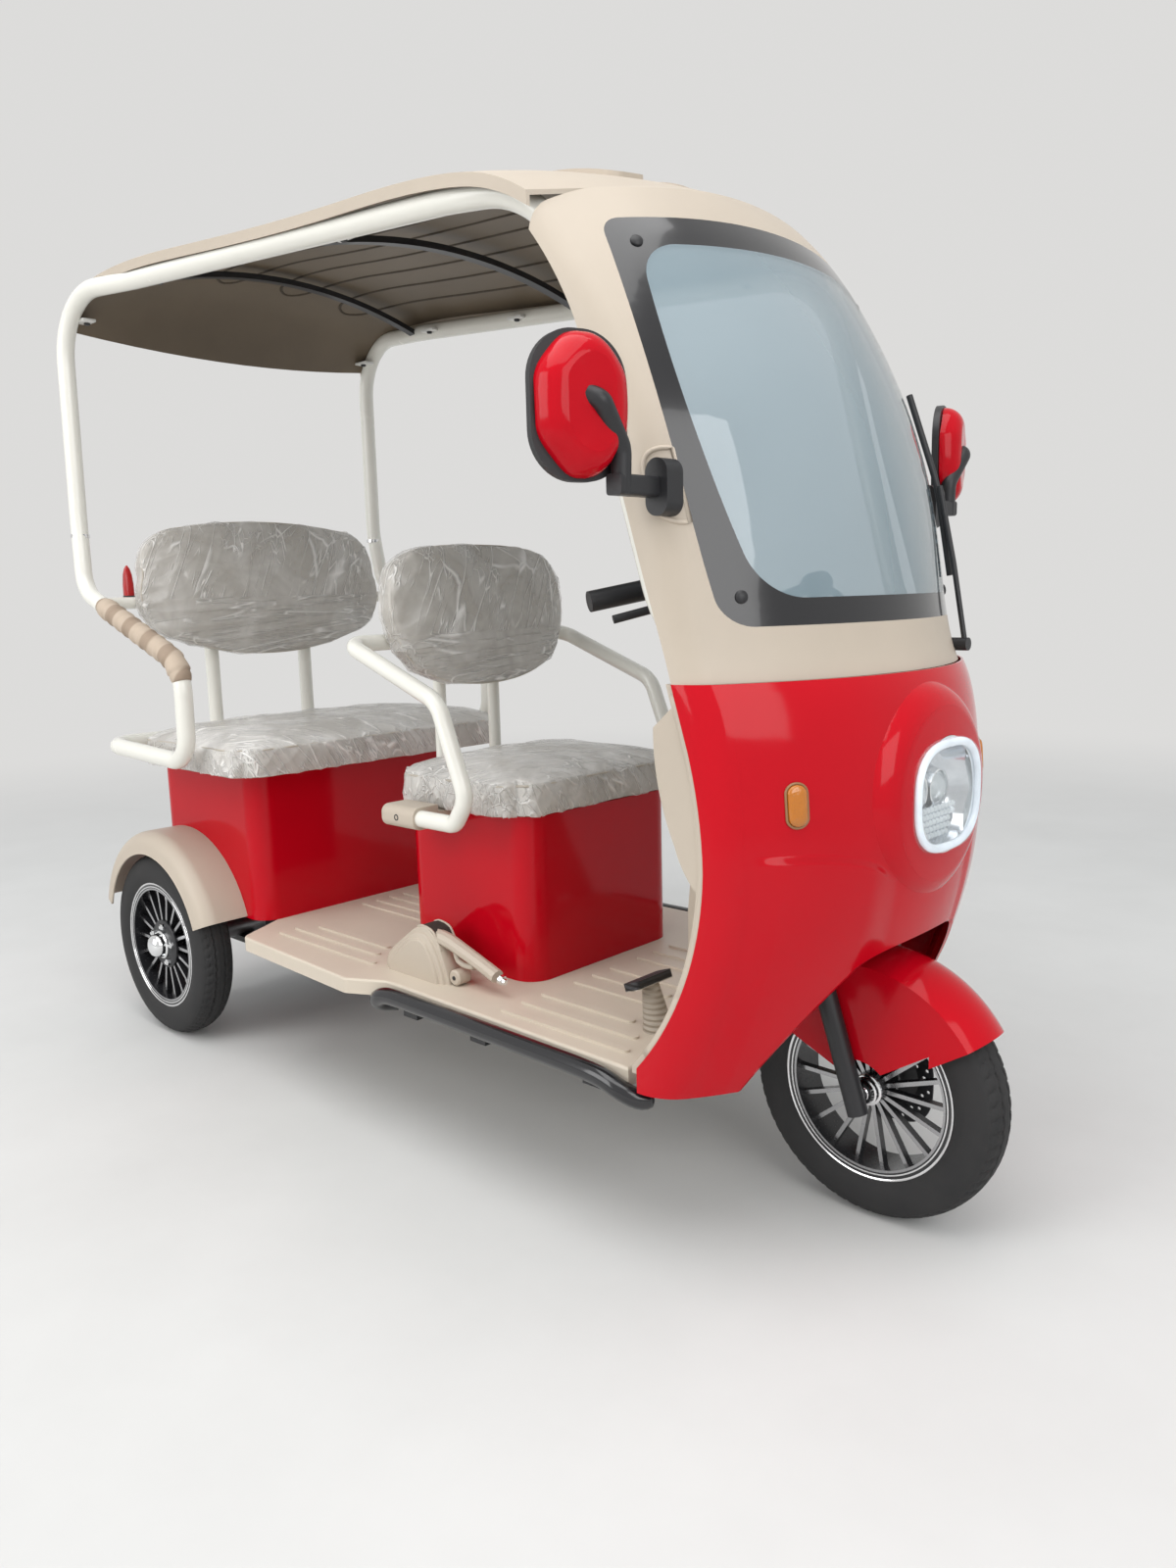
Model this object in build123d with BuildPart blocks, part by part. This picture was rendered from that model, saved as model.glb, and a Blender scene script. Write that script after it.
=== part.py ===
from build123d import *
import os
from math import cos, radians, sin, sqrt, tan

# Electric passenger tricycle: one steered front wheel, two driven rear wheels, a moulded
# front cowl with windshield, a roof on two bent side tubes, a driver seat and a rear bench.
# Millimetres. +X forward, +Y to the left, +Z up, origin on the ground under the middle of the
# whole vehicle: the rear bumper reaches further back from its axle than the front tyre does
# ahead of its own, so the axles' midpoint lies a little ahead of it.

os.makedirs("parts", exist_ok=True)

# Wheels and axles
wheelbase = 1680.0
wheel_radius = 220.0
tyre_width = 84.0
rim_radius = 150.0
rim_width = 70.0
bead_radius = 140.0
barrel_wall = 7.0
spoke_count = 18
spoke_width = 7.0
spoke_depth = 14.0
hub_radius = 24.0
hub_width = 66.0
drum_radius = 84.0
drum_width = 30.0
axle_radius = 10.0
running_gap = 0.05
axle_shift = 26.0
front_axle_x = wheelbase / 2 + axle_shift
rear_axle_x = axle_shift - wheelbase / 2

# Steering geometry
rake = 18.0
axle_lead = 19.0
leg_y = 74.0
leg_radius = 17.0
stem_radius = 15.0
crown_height = 240.0
crown_thickness = 18.0
head_start = 300.0
head_length = 165.0
head_wall = 6.0
stem_top = 846.0
bar_radius = 11.0
grip_radius = 16.0

# Front mudguard
guard_gap = 17.0
guard_radius = wheel_radius + guard_gap
guard_half_width = 62.0
guard_wall = 4.0
guard_front_angle = 35.0
guard_rear_angle = 150.0
guard_skirt_z = 262.0

# Cowl
cowl_wall = 4.0
nose_bow = 590.0
corner_bow = 80.0
belt_z = 900.0
cowl_bottom_z = 283.0
lamp_z = 714.0
lamp_radius = 89.0
bulge_radius = 160.0
bulge_x = 972.0
underside_z = 497.0

# Roof
roof_half_width = 404.0
roof_wall = 5.0
roof_flange = 20.0
seam_x = 605.0
seam_bow = 1000.0

# Tubes
tube_diameter = 38.0
rail_tube_diameter = 32.0

# Floor and boxes
floor_z = 310.0
floor_wall = 6.0
floor_lip = 30.0
rib_height = 4.0
chassis_y = 170.0
chassis_height = 40.0
chassis_width = 40.0
chassis_front_x = 571.0
chassis_rear_x = -974.0
driver_box_front = 271.0
driver_box_length = 358.0
driver_box_width = 410.0
driver_box_top = 625.0
rear_box_front = -499.0
rear_box_length = 430.0
rear_box_width = 600.0
rear_box_top = 652.0
tyre_gap = 16.0
rear_wheel_y = rear_box_width / 2 + tyre_gap + tyre_width / 2
box_corner = 48.0
seat_gap = 0.3

# Seats
driver_seat_length = 387.0
driver_seat_width = 500.0
driver_seat_height = 88.0
rear_seat_length = 478.0
rear_seat_width = 790.0
rear_seat_height = 90.0
seat_corner = 60.0
back_thickness = 72.0
armrest_gap = 16.0
frame_y = rear_seat_width / 2 + armrest_gap + tube_diameter / 2


# Cowl stations. Columns: height, how far forward the nose reaches, half width
lower_stations = (
    (270.0, 858.0, 385.0),
    (400.0, 913.0, 385.0),
    (520.0, 950.0, 385.0),
    (640.0, 967.0, 385.0),
    (760.0, 963.0, 385.0),
    (860.0, 947.0, 385.0),
    (belt_z, 931.0, 385.0),
)
upper_stations = (
    (belt_z, 922.0, 385.0),
    (1020.0, 892.0, 386.0),
    (1190.0, 862.0, 387.0),
    (1355.0, 803.0, 392.0),
    (1500.0, 722.0, 402.0),
    (1600.0, 643.0, 404.0),
    (1690.0, 505.0, 404.0),
)

# Roof stations. Columns: place along X, height of the side edge, height of the middle
roof_stations = (
    (-974.0, 1642.0, 1620.0),
    (-939.0, 1672.0, 1690.0),
    (-874.0, 1712.0, 1757.0),
    (-774.0, 1727.0, 1781.0),
    (-424.0, 1708.0, 1762.0),
    (26.0, 1672.0, 1728.0),
    (326.0, 1650.0, 1704.0),
    (446.0, 1622.0, 1684.0),
    (546.0, 1566.0, 1655.0),
    (646.0, 1506.0, 1614.0),
)


def mirrored(piece):
    """The piece with its twin on the other side of the vehicle."""
    return [piece, piece.mirror(Plane.XZ)]


def round_bar(points, radii, diameter):
    """A round bar along straight runs joined by tangent arcs."""
    with BuildLine() as path:
        FilletPolyline(*points, radius=radii)
    with BuildPart() as bar:
        with BuildSketch(path.line ^ 0):
            Circle(diameter / 2)
        sweep(path=path.line)
    return bar.part


def plan_outline(z, nose, half_width, inset=0.0):
    """One level section of the cowl: a bowed front, two corners and straight sides."""
    bow = nose_bow - inset
    corner = corner_bow - inset
    side = half_width - inset
    bow_x = nose - nose_bow
    corner_x = bow_x + sqrt((bow - corner) ** 2 - (side - corner) ** 2)
    reach = bow / (bow - corner)
    meet = (bow_x + (corner_x - bow_x) * reach, (side - corner) * reach)
    turn = Vector(meet[0] - corner_x, meet[1] - (side - corner)).get_angle(Vector(0, 1))
    middle = (
        corner_x + corner * sin(radians(turn / 2)),
        side - corner + corner * cos(radians(turn / 2)),
    )
    back_x = 176.0
    with BuildSketch(Plane.XY.offset(z)) as outline:
        with BuildLine():
            Line((back_x, -side), (corner_x, -side))
            ThreePointArc((corner_x, -side), (middle[0], -middle[1]), (meet[0], -meet[1]))
            ThreePointArc((meet[0], -meet[1]), (nose - inset, 0), meet)
            ThreePointArc(meet, middle, (corner_x, side))
            Line((corner_x, side), (back_x, side))
            Line((back_x, side), (back_x, -side))
        make_face()
    return outline.sketch


def cowl_skin(stations):
    """The moulded shell between a loft through the stations and the same one inset."""
    first = stations[0]
    last = stations[-1]
    low = (first[0] - 1, first[1], first[2])
    high = (last[0] + 1, last[1], last[2])
    inner_stations = (low,) + stations[1:-1] + (high,)
    with BuildPart() as skin:
        loft(sections=[plan_outline(*row) for row in stations])
        loft(sections=[plan_outline(*row, inset=cowl_wall) for row in inner_stations], mode=Mode.SUBTRACT)
    return skin.part


# The door edge in side view, from under the roof to the floor
door_top = (504.0, 1552.0)
door_shoulder = (573.0, 1454.0)
door_pillar = (604.0, 1386.0)
door_belt = (781.0, 808.0)
door_knee = (804.0, 640.0)
door_foot = (678.0, 322.0)


def door_region(shift, low_z, high_z):
    """Everything behind the door edge in side view, moved back by the shift."""
    back = 120.0
    with BuildSketch(Plane.XZ) as region:
        with BuildLine():
            Line((back, high_z), (door_top[0] - 60 - shift, high_z))
            Line((door_top[0] - 60 - shift, high_z), (door_top[0] - shift, door_top[1]))
            ThreePointArc(
                (door_top[0] - shift, door_top[1]),
                (door_shoulder[0] - shift, door_shoulder[1]),
                (door_pillar[0] - shift, door_pillar[1]),
            )
            Line((door_pillar[0] - shift, door_pillar[1]), (door_belt[0] - shift, door_belt[1]))
            ThreePointArc(
                (door_belt[0] - shift, door_belt[1]),
                (door_knee[0] - 5 - shift, door_knee[1] + 76),
                (door_knee[0] - shift, door_knee[1]),
            )
            ThreePointArc(
                (door_knee[0] - shift, door_knee[1]),
                (door_knee[0] - 33 - shift, door_knee[1] - 165),
                (door_foot[0] - shift, door_foot[1]),
            )
            Line((door_foot[0] - shift, door_foot[1]), (door_foot[0] - shift, low_z))
            Line((door_foot[0] - shift, low_z), (back, low_z))
            Line((back, low_z), (back, high_z))
        make_face()
    return region.sketch


def roof_band(x, edge_z, middle_z):
    """One cross section of the roof panel: a crown between two short flanges."""
    side = roof_half_width
    inner = side - roof_wall
    low = edge_z - roof_flange
    under = edge_z - roof_wall
    with BuildSketch(Plane.YZ.offset(x)) as band:
        with BuildLine():
            Line((-side, low), (-side, edge_z))
            ThreePointArc((-side, edge_z), (0, middle_z), (side, edge_z))
            Line((side, edge_z), (side, low))
            Line((side, low), (inner, low))
            Line((inner, low), (inner, under))
            ThreePointArc((inner, under), (0, middle_z - roof_wall), (-inner, under))
            Line((-inner, under), (-inner, low))
            Line((-inner, low), (-side, low))
        make_face()
    return band.sketch


def roof_block(x, edge_z, middle_z):
    """One cross section of the space under the roof's outer face."""
    side = roof_half_width + 20
    side_z = middle_z - (middle_z - edge_z) * (side / roof_half_width) ** 2
    base = 800.0
    with BuildSketch(Plane.YZ.offset(x)) as block:
        with BuildLine():
            Line((-side, base), (-side, side_z))
            ThreePointArc((-side, side_z), (0, middle_z), (side, side_z))
            Line((side, side_z), (side, base))
            Line((side, base), (-side, base))
        make_face()
    return block.sketch


# Windshield outlines in front view. Columns: half width, height
border_top = (330.0, 1546.0)
border_middle = (355.0, 1262.0)
border_low = (326.0, 975.0)
border_crown = 1568.0
glass_top = (300.0, 1508.0)
glass_middle = (324.0, 1262.0)
glass_low = (268.0, 1013.0)
glass_crown = 1522.0


def window_outline(top, middle, low, crown, top_corner, low_corner, grow=0.0):
    """A closed window outline with bowed sides and rounded corners."""
    with BuildSketch(Plane.YZ) as window:
        with BuildLine():
            ThreePointArc(
                (-top[0] - grow, top[1] + grow),
                (0, crown + grow),
                (top[0] + grow, top[1] + grow),
            )
            ThreePointArc(
                (top[0] + grow, top[1] + grow),
                (middle[0] + grow, middle[1]),
                (low[0] + grow, low[1] - grow),
            )
            Line((low[0] + grow, low[1] - grow), (-low[0] - grow, low[1] - grow))
            ThreePointArc(
                (-low[0] - grow, low[1] - grow),
                (-middle[0] - grow, middle[1]),
                (-top[0] - grow, top[1] + grow),
            )
        make_face()
        fillet(window.vertices().group_by(Axis.Y)[-1], top_corner)
        fillet(window.vertices().group_by(Axis.Y)[0], low_corner)
    return window.sketch


# Steering axis and points along it
axis_up = Vector(-sin(radians(rake)), 0, cos(radians(rake)))
axis_ahead = Vector(cos(radians(rake)), 0, sin(radians(rake)))
axle_point = Vector(front_axle_x, 0, wheel_radius)
axis_foot = axle_point - axis_ahead * axle_lead


def axis_plane(height):
    """A plane square to the steering axis, its height measured along the axis."""
    return Plane(origin=axis_foot + axis_up * height, x_dir=axis_ahead, z_dir=axis_up)


def wheel_plane(x, y):
    """Cross-section plane of a wheel: local x along the axle, local y outwards."""
    return Plane(origin=(x, y, wheel_radius), x_dir=(0, 1, 0), z_dir=(1, 0, 0))


def wheel_axis(x, y):
    """The axis that a wheel turns on."""
    return Axis((x, y, wheel_radius), (0, 1, 0))


def build_tyre(x, y):
    """Tyre with bulging sidewalls and a bowed crown."""
    bead_half = rim_width / 2 - 5
    wall_half = tyre_width / 2
    with BuildPart() as tyre:
        with BuildSketch(wheel_plane(x, y)):
            with BuildLine():
                Line((-bead_half, bead_radius), (bead_half, bead_radius))
                Line((bead_half, bead_radius), (bead_half, bead_radius + 12))
                ThreePointArc(
                    (bead_half, bead_radius + 12), (wall_half, bead_radius + 42), (wall_half - 6, wheel_radius - 16)
                )
                ThreePointArc(
                    (wall_half - 6, wheel_radius - 16), (0, wheel_radius), (6 - wall_half, wheel_radius - 16)
                )
                ThreePointArc(
                    (6 - wall_half, wheel_radius - 16), (-wall_half, bead_radius + 42), (-bead_half, bead_radius + 12)
                )
                Line((-bead_half, bead_radius + 12), (-bead_half, bead_radius))
            make_face()
        revolve(axis=wheel_axis(x, y))
    return tyre.part


def build_rim(x, y, outward, with_drum):
    """Cast wheel: barrel with two lips, thin spokes and a bored hub."""
    barrel_half = rim_width / 2
    lip = 5.0
    inner = bead_radius - barrel_wall
    spoke_face = barrel_half - 14
    with BuildPart() as rim:
        with BuildSketch(wheel_plane(x, y)):
            with BuildLine():
                Polyline(
                    (-barrel_half, inner),
                    (barrel_half, inner),
                    (barrel_half, rim_radius),
                    (barrel_half - lip, rim_radius),
                    (barrel_half - lip, bead_radius),
                    (lip - barrel_half, bead_radius),
                    (lip - barrel_half, rim_radius),
                    (-barrel_half, rim_radius),
                    close=True,
                )
            make_face()
        revolve(axis=wheel_axis(x, y))
        with BuildSketch(Plane(origin=(x, y, wheel_radius), x_dir=(1, 0, 0), z_dir=(0, 1, 0))):
            Circle(hub_radius)
        extrude(amount=hub_width / 2, both=True)
        spoke_start = hub_radius - 4
        spoke_length = inner + 2 - spoke_start
        spoke_plane = Plane(origin=(x, y + outward * spoke_face, wheel_radius), x_dir=(1, 0, 0), z_dir=(0, outward, 0))
        with BuildSketch(spoke_plane):
            with PolarLocations(0, spoke_count):
                with Locations((spoke_start + spoke_length / 2, 0)):
                    Rectangle(spoke_length, spoke_width)
        extrude(amount=-spoke_depth)
        if with_drum:
            with BuildSketch(Plane(origin=(x, y - outward * drum_width, wheel_radius), x_dir=(1, 0, 0), z_dir=(0, outward, 0))):
                Circle(drum_radius)
            extrude(amount=drum_width)
        with BuildSketch(Plane(origin=(x, y, wheel_radius), x_dir=(1, 0, 0), z_dir=(0, 1, 0))):
            Circle(axle_radius)
        extrude(amount=hub_width, both=True, mode=Mode.SUBTRACT)
    return rim.part


# Wheels
# Columns: name, place along X, place along Y, side that faces out, brake drum
wheel_table = (
    ("front", front_axle_x, 0.0, -1, False),
    ("rear_right", rear_axle_x, -rear_wheel_y, -1, True),
    ("rear_left", rear_axle_x, rear_wheel_y, 1, True),
)
for wheel_name, wheel_x, wheel_y, outward, with_drum in wheel_table:
    with BuildPart() as rim:
        add(build_rim(wheel_x, wheel_y, outward, with_drum))
    rim.part.label = wheel_name + "_rim"
    export_step(rim.part, f"parts/{wheel_name}_rim.step")
    with BuildPart() as tyre:
        add(build_tyre(wheel_x, wheel_y))
    tyre.part.label = wheel_name + "_tyre"
    export_step(tyre.part, f"parts/{wheel_name}_tyre.step")

# Chassis: two rails that step up over the rear axle, cross members, neck and head tube,
# a hoop for a rear bumper and a bracket for a number plate at the tail
side_bar_radius = 16.0
side_bar_y = 366.0
rail_z = floor_z - floor_lip - 0.3 - chassis_height / 2
rear_rail_height = floor_lip - 0.3
rear_rail_front = -549.0
front_rail_rear = -599.0
member_height = 30.0
plate_bracket_z = 250.0
plate_hole_spacing = 120.0
plate_hole_radius = 3.5
member_end = side_bar_y - side_bar_radius - 0.3
# Columns: place along X, half length, height of the middle
cross_member_table = (
    (chassis_rear_x + 20, 240.0, floor_z - 0.3 - rear_rail_height / 2),
    (-569.0, 240.0, floor_z - 0.3 - rear_rail_height / 2),
    (-394.0, 300.0, rail_z),
    (86.0, member_end, rail_z),
    (276.0, member_end, rail_z),
    (551.0, member_end, rail_z),
)
head_center = axis_foot + axis_up * (head_start + head_length / 2)
bumper_foot = (chassis_rear_x + 20, floor_z - 0.3 - rear_rail_height / 2)
bumper_reach = 1071.0
bumper_points = [
    (bumper_foot[0], chassis_y, bumper_foot[1]),
    (bumper_foot[0] - 50, chassis_y, bumper_foot[1] + 4),
    (-bumper_reach, chassis_y, 380.0),
    (-bumper_reach, -chassis_y, 380.0),
    (bumper_foot[0] - 50, -chassis_y, bumper_foot[1] + 4),
    (bumper_foot[0], -chassis_y, bumper_foot[1]),
]
outrigger_radius = 15.0
outrigger_x = 730.0
outrigger_y = 290.0
outrigger_z = 300.0
with BuildPart() as chassis_frame:
    rail_length = chassis_front_x - front_rail_rear
    rail_middle = (chassis_front_x + front_rail_rear) / 2
    with Locations((rail_middle, chassis_y, rail_z), (rail_middle, -chassis_y, rail_z)):
        Box(rail_length, chassis_width, chassis_height)
    rear_length = rear_rail_front - chassis_rear_x
    rear_middle = (rear_rail_front + chassis_rear_x) / 2
    rear_rail_z = floor_z - 0.3 - rear_rail_height / 2
    with Locations((rear_middle, chassis_y, rear_rail_z), (rear_middle, -chassis_y, rear_rail_z)):
        Box(rear_length, chassis_width, rear_rail_height)
    for member_x, member_half, member_z in cross_member_table:
        with Locations((member_x, 0, member_z)):
            Box(chassis_width, 2 * member_half, min(member_height, rear_rail_height))
    neck = [(551.0, 0, rail_z), (588.0, 0, 425.0), (head_center.X, 0, head_center.Z)]
    add(round_bar(neck, [90.0], 46.0))
    with BuildSketch(axis_plane(head_start)):
        Circle(stem_radius + head_wall)
    extrude(amount=head_length)
    add(round_bar(bumper_points, [30.0, 40.0, 40.0, 30.0], 30.0))
    for side in (-1, 1):
        with BuildLine() as outrigger:
            Line((chassis_front_x - 20, side * chassis_y, rail_z), (outrigger_x, side * outrigger_y, outrigger_z))
        with BuildSketch(outrigger.line ^ 0):
            Circle(outrigger_radius)
        sweep(path=outrigger.line)
    with BuildSketch(axis_plane(head_start - 1)):
        Circle(stem_radius + running_gap)
    extrude(amount=head_length + 60, mode=Mode.SUBTRACT)
    with BuildSketch(Plane.YZ.offset(chassis_rear_x - 4)):
        with Locations((0, plate_bracket_z)):
            RectangleRounded(170, 96, 8)
            with GridLocations(plate_hole_spacing, 1, 2, 1):
                Circle(plate_hole_radius, mode=Mode.SUBTRACT)
    extrude(amount=4)
chassis_frame.part.label = "chassis_frame"
export_step(chassis_frame.part, "parts/chassis_frame.step")

# Floor pan with wide rear steps and rows of ribs
step_inner = (-507.0, 257.0)
step_outer = (-445.0, 384.0)
step_bend = (-43.0, 404.0)
step_end = (37.0, 362.0)
floor_front = (650.0, 372.0)
well_half = 179.0
well_x = 600.0
neck_hole_x = 536.5
neck_hole_half = 60.0
rib_width = 14.0
# Columns: start and end along X, centre line along Y
rib_table = (
    (-374.0, -124.0, 235.0),
    (-404.0, -104.0, 275.0),
    (-404.0, -64.0, 315.0),
    (316.0, 536.0, 225.0),
    (316.0, 586.0, 275.0),
    (316.0, 611.0, 325.0),
    (316.0, 506.0, 140.0),
    (316.0, 506.0, 90.0),
    (316.0, 506.0, 40.0),
    (-454.0, -114.0, 60.0),
    (-454.0, -114.0, 20.0),
)
with BuildPart() as floor_pan:
    with BuildSketch(Plane.XY.offset(floor_z - floor_lip)):
        with BuildLine():
            Polyline(
                step_inner,
                step_outer,
                step_bend,
                step_end,
                floor_front,
                (floor_front[0], -floor_front[1]),
                (step_end[0], -step_end[1]),
                (step_bend[0], -step_bend[1]),
                (step_outer[0], -step_outer[1]),
                (step_inner[0], -step_inner[1]),
                close=True,
            )
        make_face()
    extrude(amount=floor_lip)
    fillet(floor_pan.edges().filter_by(Axis.Z).sort_by(Axis.X)[2:8], 26)
    fillet(floor_pan.faces().sort_by(Axis.Z)[-1].edges(), 5)
    offset(amount=-floor_wall, openings=floor_pan.faces().sort_by(Axis.Z)[0])
    with BuildSketch(Plane.XY.offset(floor_z - floor_lip)):
        with Locations((floor_front[0], 0)):
            Rectangle(2 * (floor_front[0] - well_x), 2 * well_half)
            Rectangle(2 * (floor_front[0] - neck_hole_x), 2 * neck_hole_half)
    extrude(amount=floor_lip + 10, mode=Mode.SUBTRACT)
    with BuildSketch(Plane.XY.offset(floor_z - floor_lip)):
        with Locations((floor_front[0], 0)):
            Rectangle(20, 640)
    extrude(amount=floor_lip - floor_wall, mode=Mode.SUBTRACT)
    with BuildSketch(Plane.XY.offset(floor_z - 1)):
        for rib_start, rib_end, rib_y in rib_table:
            with Locations(((rib_start + rib_end) / 2, rib_y), ((rib_start + rib_end) / 2, -rib_y)):
                SlotOverall(rib_end - rib_start, rib_width)
    extrude(amount=rib_height + 1)
floor_pan.part.label = "floor_pan"
export_step(floor_pan.part, "parts/floor_pan.step")

# Black side bars under the floor's front half
side_bar_z = floor_z - floor_lip - 0.3 - side_bar_radius
with BuildPart() as side_bars:
    bar_run = [
        (12.0, side_bar_y - 36, side_bar_z),
        (48.0, side_bar_y, side_bar_z),
        (638.0, side_bar_y, side_bar_z),
        (676.0, side_bar_y - 40, side_bar_z),
    ]
    add(mirrored(round_bar(bar_run, [34.0, 34.0], 2 * side_bar_radius)))
side_bars.part.label = "side_bars"
export_step(side_bars.part, "parts/side_bars.step")

# Seat boxes
with BuildPart() as driver_box:
    with BuildSketch(Plane.XY.offset(floor_z + 0.3)):
        with Locations((driver_box_front - driver_box_length / 2, 0)):
            RectangleRounded(driver_box_length, driver_box_width, box_corner)
    extrude(amount=driver_box_top - floor_z - 0.3)
driver_box.part.label = "driver_box"
export_step(driver_box.part, "parts/driver_box.step")

with BuildPart() as rear_box:
    with BuildSketch(Plane.XY.offset(floor_z)):
        with Locations((rear_box_front - rear_box_length / 2, 0)):
            RectangleRounded(rear_box_length, rear_box_width, box_corner)
    extrude(amount=rear_box_top - floor_z)
rear_box.part.label = "rear_box"
export_step(rear_box.part, "parts/rear_box.step")


def seat_pad(center_x, base_z, length, width, height):
    """A plain cushion with rounded corners and a softened top edge."""
    with BuildPart() as pad:
        with BuildSketch(Plane.XY.offset(base_z)):
            with Locations((center_x, 0)):
                RectangleRounded(length, width, seat_corner)
        extrude(amount=height)
        fillet(pad.faces().sort_by(Axis.Z)[-1].edges(), 22)
    return pad.part


driver_seat_x = 288.0 - driver_seat_length / 2
rear_seat_x = -394.0 - rear_seat_length / 2
with BuildPart() as driver_cushion:
    add(seat_pad(driver_seat_x, driver_box_top + seat_gap, driver_seat_length, driver_seat_width, driver_seat_height))
driver_cushion.part.label = "driver_cushion"
export_step(driver_cushion.part, "parts/driver_cushion.step")

with BuildPart() as rear_cushion:
    add(seat_pad(rear_seat_x, rear_box_top + seat_gap, rear_seat_length, rear_seat_width, rear_seat_height))
rear_cushion.part.label = "rear_cushion"
export_step(rear_cushion.part, "parts/rear_cushion.step")

# Seat backs. Corner points as shares of the half width and heights from the shoulder
driver_back_x = -72.0
rear_back_x = -884.0
driver_lean = 6.0
rear_lean = 4.0
# Columns: half width, shoulder height, rise, crown end, crown corner, side bow, low corner, drop
driver_back_shape = (236.0, 1003.0, 126.0, (0.62, 109.0), (0.89, 67.0), (0.93, -55.0), (0.70, -114.0), -163.0)
rear_back_shape = (330.0, 1085.0, 136.0, (0.70, 116.0), (0.92, 84.0), (0.98, -105.0), (0.78, -150.0), -198.0)


def seat_back(x, shape, lean):
    """A bean-shaped back pad: low crown, round shoulders and a deep lower curve."""
    half, shoulder, rise, crown_end, crown_corner, side_bow, low_corner, drop = shape
    plane = Plane(origin=(x, 0, shoulder), x_dir=(0, 1, 0), z_dir=(cos(radians(lean)), 0, sin(radians(lean))))
    with BuildPart() as pad:
        with BuildSketch(plane):
            with BuildLine():
                end = (half * crown_end[0], crown_end[1])
                corner = (half * crown_corner[0], crown_corner[1])
                bow = (half * side_bow[0], side_bow[1])
                low = (half * low_corner[0], low_corner[1])
                ThreePointArc((-end[0], end[1]), (0, rise), end)
                ThreePointArc(end, corner, (half, 0))
                ThreePointArc((half, 0), bow, low)
                ThreePointArc(low, (0, drop), (-low[0], low[1]))
                ThreePointArc((-low[0], low[1]), (-bow[0], bow[1]), (-half, 0))
                ThreePointArc((-half, 0), (-corner[0], corner[1]), (-end[0], end[1]))
            make_face()
        extrude(amount=back_thickness / 2, both=True)
    return pad.part


with BuildPart() as driver_back:
    add(seat_back(driver_back_x, driver_back_shape, driver_lean))
driver_back.part.label = "driver_back"
export_step(driver_back.part, "parts/driver_back.step")

with BuildPart() as rear_back:
    add(seat_back(rear_back_x, rear_back_shape, rear_lean))
rear_back.part.label = "rear_back"
export_step(rear_back.part, "parts/rear_back.step")

# Driver rails: armrest tubes that rise from the covers to the back, and the back's two posts
rail_y = 297.0
post_y = 75.0
back_tube_z = 938.0
back_face_x = driver_back_x + (driver_back_shape[1] - back_tube_z) * tan(radians(driver_lean))
post_x = back_face_x - back_thickness / 2 / cos(radians(driver_lean)) - rail_tube_diameter / 2 - 0.3
cover_z = 618.0
plate_back = post_x - 16
plate_front = driver_box_front - driver_box_length - 0.3
with BuildPart() as driver_rails:
    for side in (-1, 1):
        rail_points = [
            (post_x, side * 150.0, back_tube_z),
            (post_x, side * rail_y, back_tube_z),
            (144.0, side * rail_y, 838.0),
            (212.0, side * rail_y, 668.0),
            (178.0, side * rail_y, cover_z),
            (82.0, side * rail_y, cover_z),
        ]
        add(round_bar(rail_points, [34.0, 60.0, 40.0, 24.0], rail_tube_diameter))
        with BuildSketch(Plane(origin=(post_x, side * post_y, driver_box_top - 60))):
            Circle(13)
        extrude(amount=back_tube_z - driver_box_top + 60)
    with BuildSketch(Plane(origin=(post_x, 0, back_tube_z), x_dir=(1, 0, 0), z_dir=(0, 1, 0))):
        Circle(rail_tube_diameter / 2)
    extrude(amount=152, both=True)
    with Locations(((plate_back + plate_front) / 2, 0, 600)):
        Box(plate_front - plate_back, 2 * post_y + 40, 8)
driver_rails.part.label = "driver_rails"
export_step(driver_rails.part, "parts/driver_rails.step")

# Covers over the rails' lower ends, against the driver box
cover_width = rail_y + 20 - driver_box_width / 2 - 0.3
cover_y = rail_y + 20 - cover_width / 2
with BuildPart() as rail_covers:
    cover_plane = Plane(origin=(-18, 0, cover_z), x_dir=(0, 1, 0), z_dir=(1, 0, 0))
    with BuildSketch(cover_plane):
        with Locations((cover_y, 0), (-cover_y, 0)):
            RectangleRounded(cover_width, 42, 16)
    extrude(amount=100)
    fillet(rail_covers.faces().sort_by(Axis.X)[:2].edges(), 8)
    with Locations((driver_seat_x, 0, driver_box_top + 50)):
        Box(driver_seat_length + 40, driver_seat_width + 12, 100.6, mode=Mode.SUBTRACT)
rail_covers.part.label = "rail_covers"
export_step(rail_covers.part, "parts/rail_covers.step")

# Side frames: armrest loop, rear pillar, roof tube and front pillar in one bent tube
tube_end_z = outrigger_z + outrigger_radius + 0.3
side_frame_points = (
    (-899.0, 340.0, 700.0),
    (-899.0, frame_y, 700.0),
    (-534.0, frame_y, 686.0),
    (-527.0, frame_y, 895.0),
    (-959.0, frame_y - 2, 1054.0),
    (-980.0, frame_y - 11, 1200.0),
    (-972.0, frame_y - 16, 1714.0),
    (-674.0, 387.0, 1694.0),
    (326.0, 378.0, 1619.0),
    (533.0, 360.0, 1598.0),
    (698.0, 340.0, 1011.0),
    (798.0, 330.0, 850.0),
    (826.0, 322.0, 640.0),
    (802.0, 306.0, 480.0),
    (outrigger_x, outrigger_y, 385.0),
    (outrigger_x, outrigger_y, tube_end_z),
)
side_frame_radii = [55, 60, 85, 80, 300, 140, 300, 500, 200, 160, 120, 300, 120, 60]


def side_tube(side, diameter):
    """One side frame's tube, or a fatter one to cut clearance for it."""
    return round_bar([(x, side * y, z) for x, y, z in side_frame_points], side_frame_radii, diameter)


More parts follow.
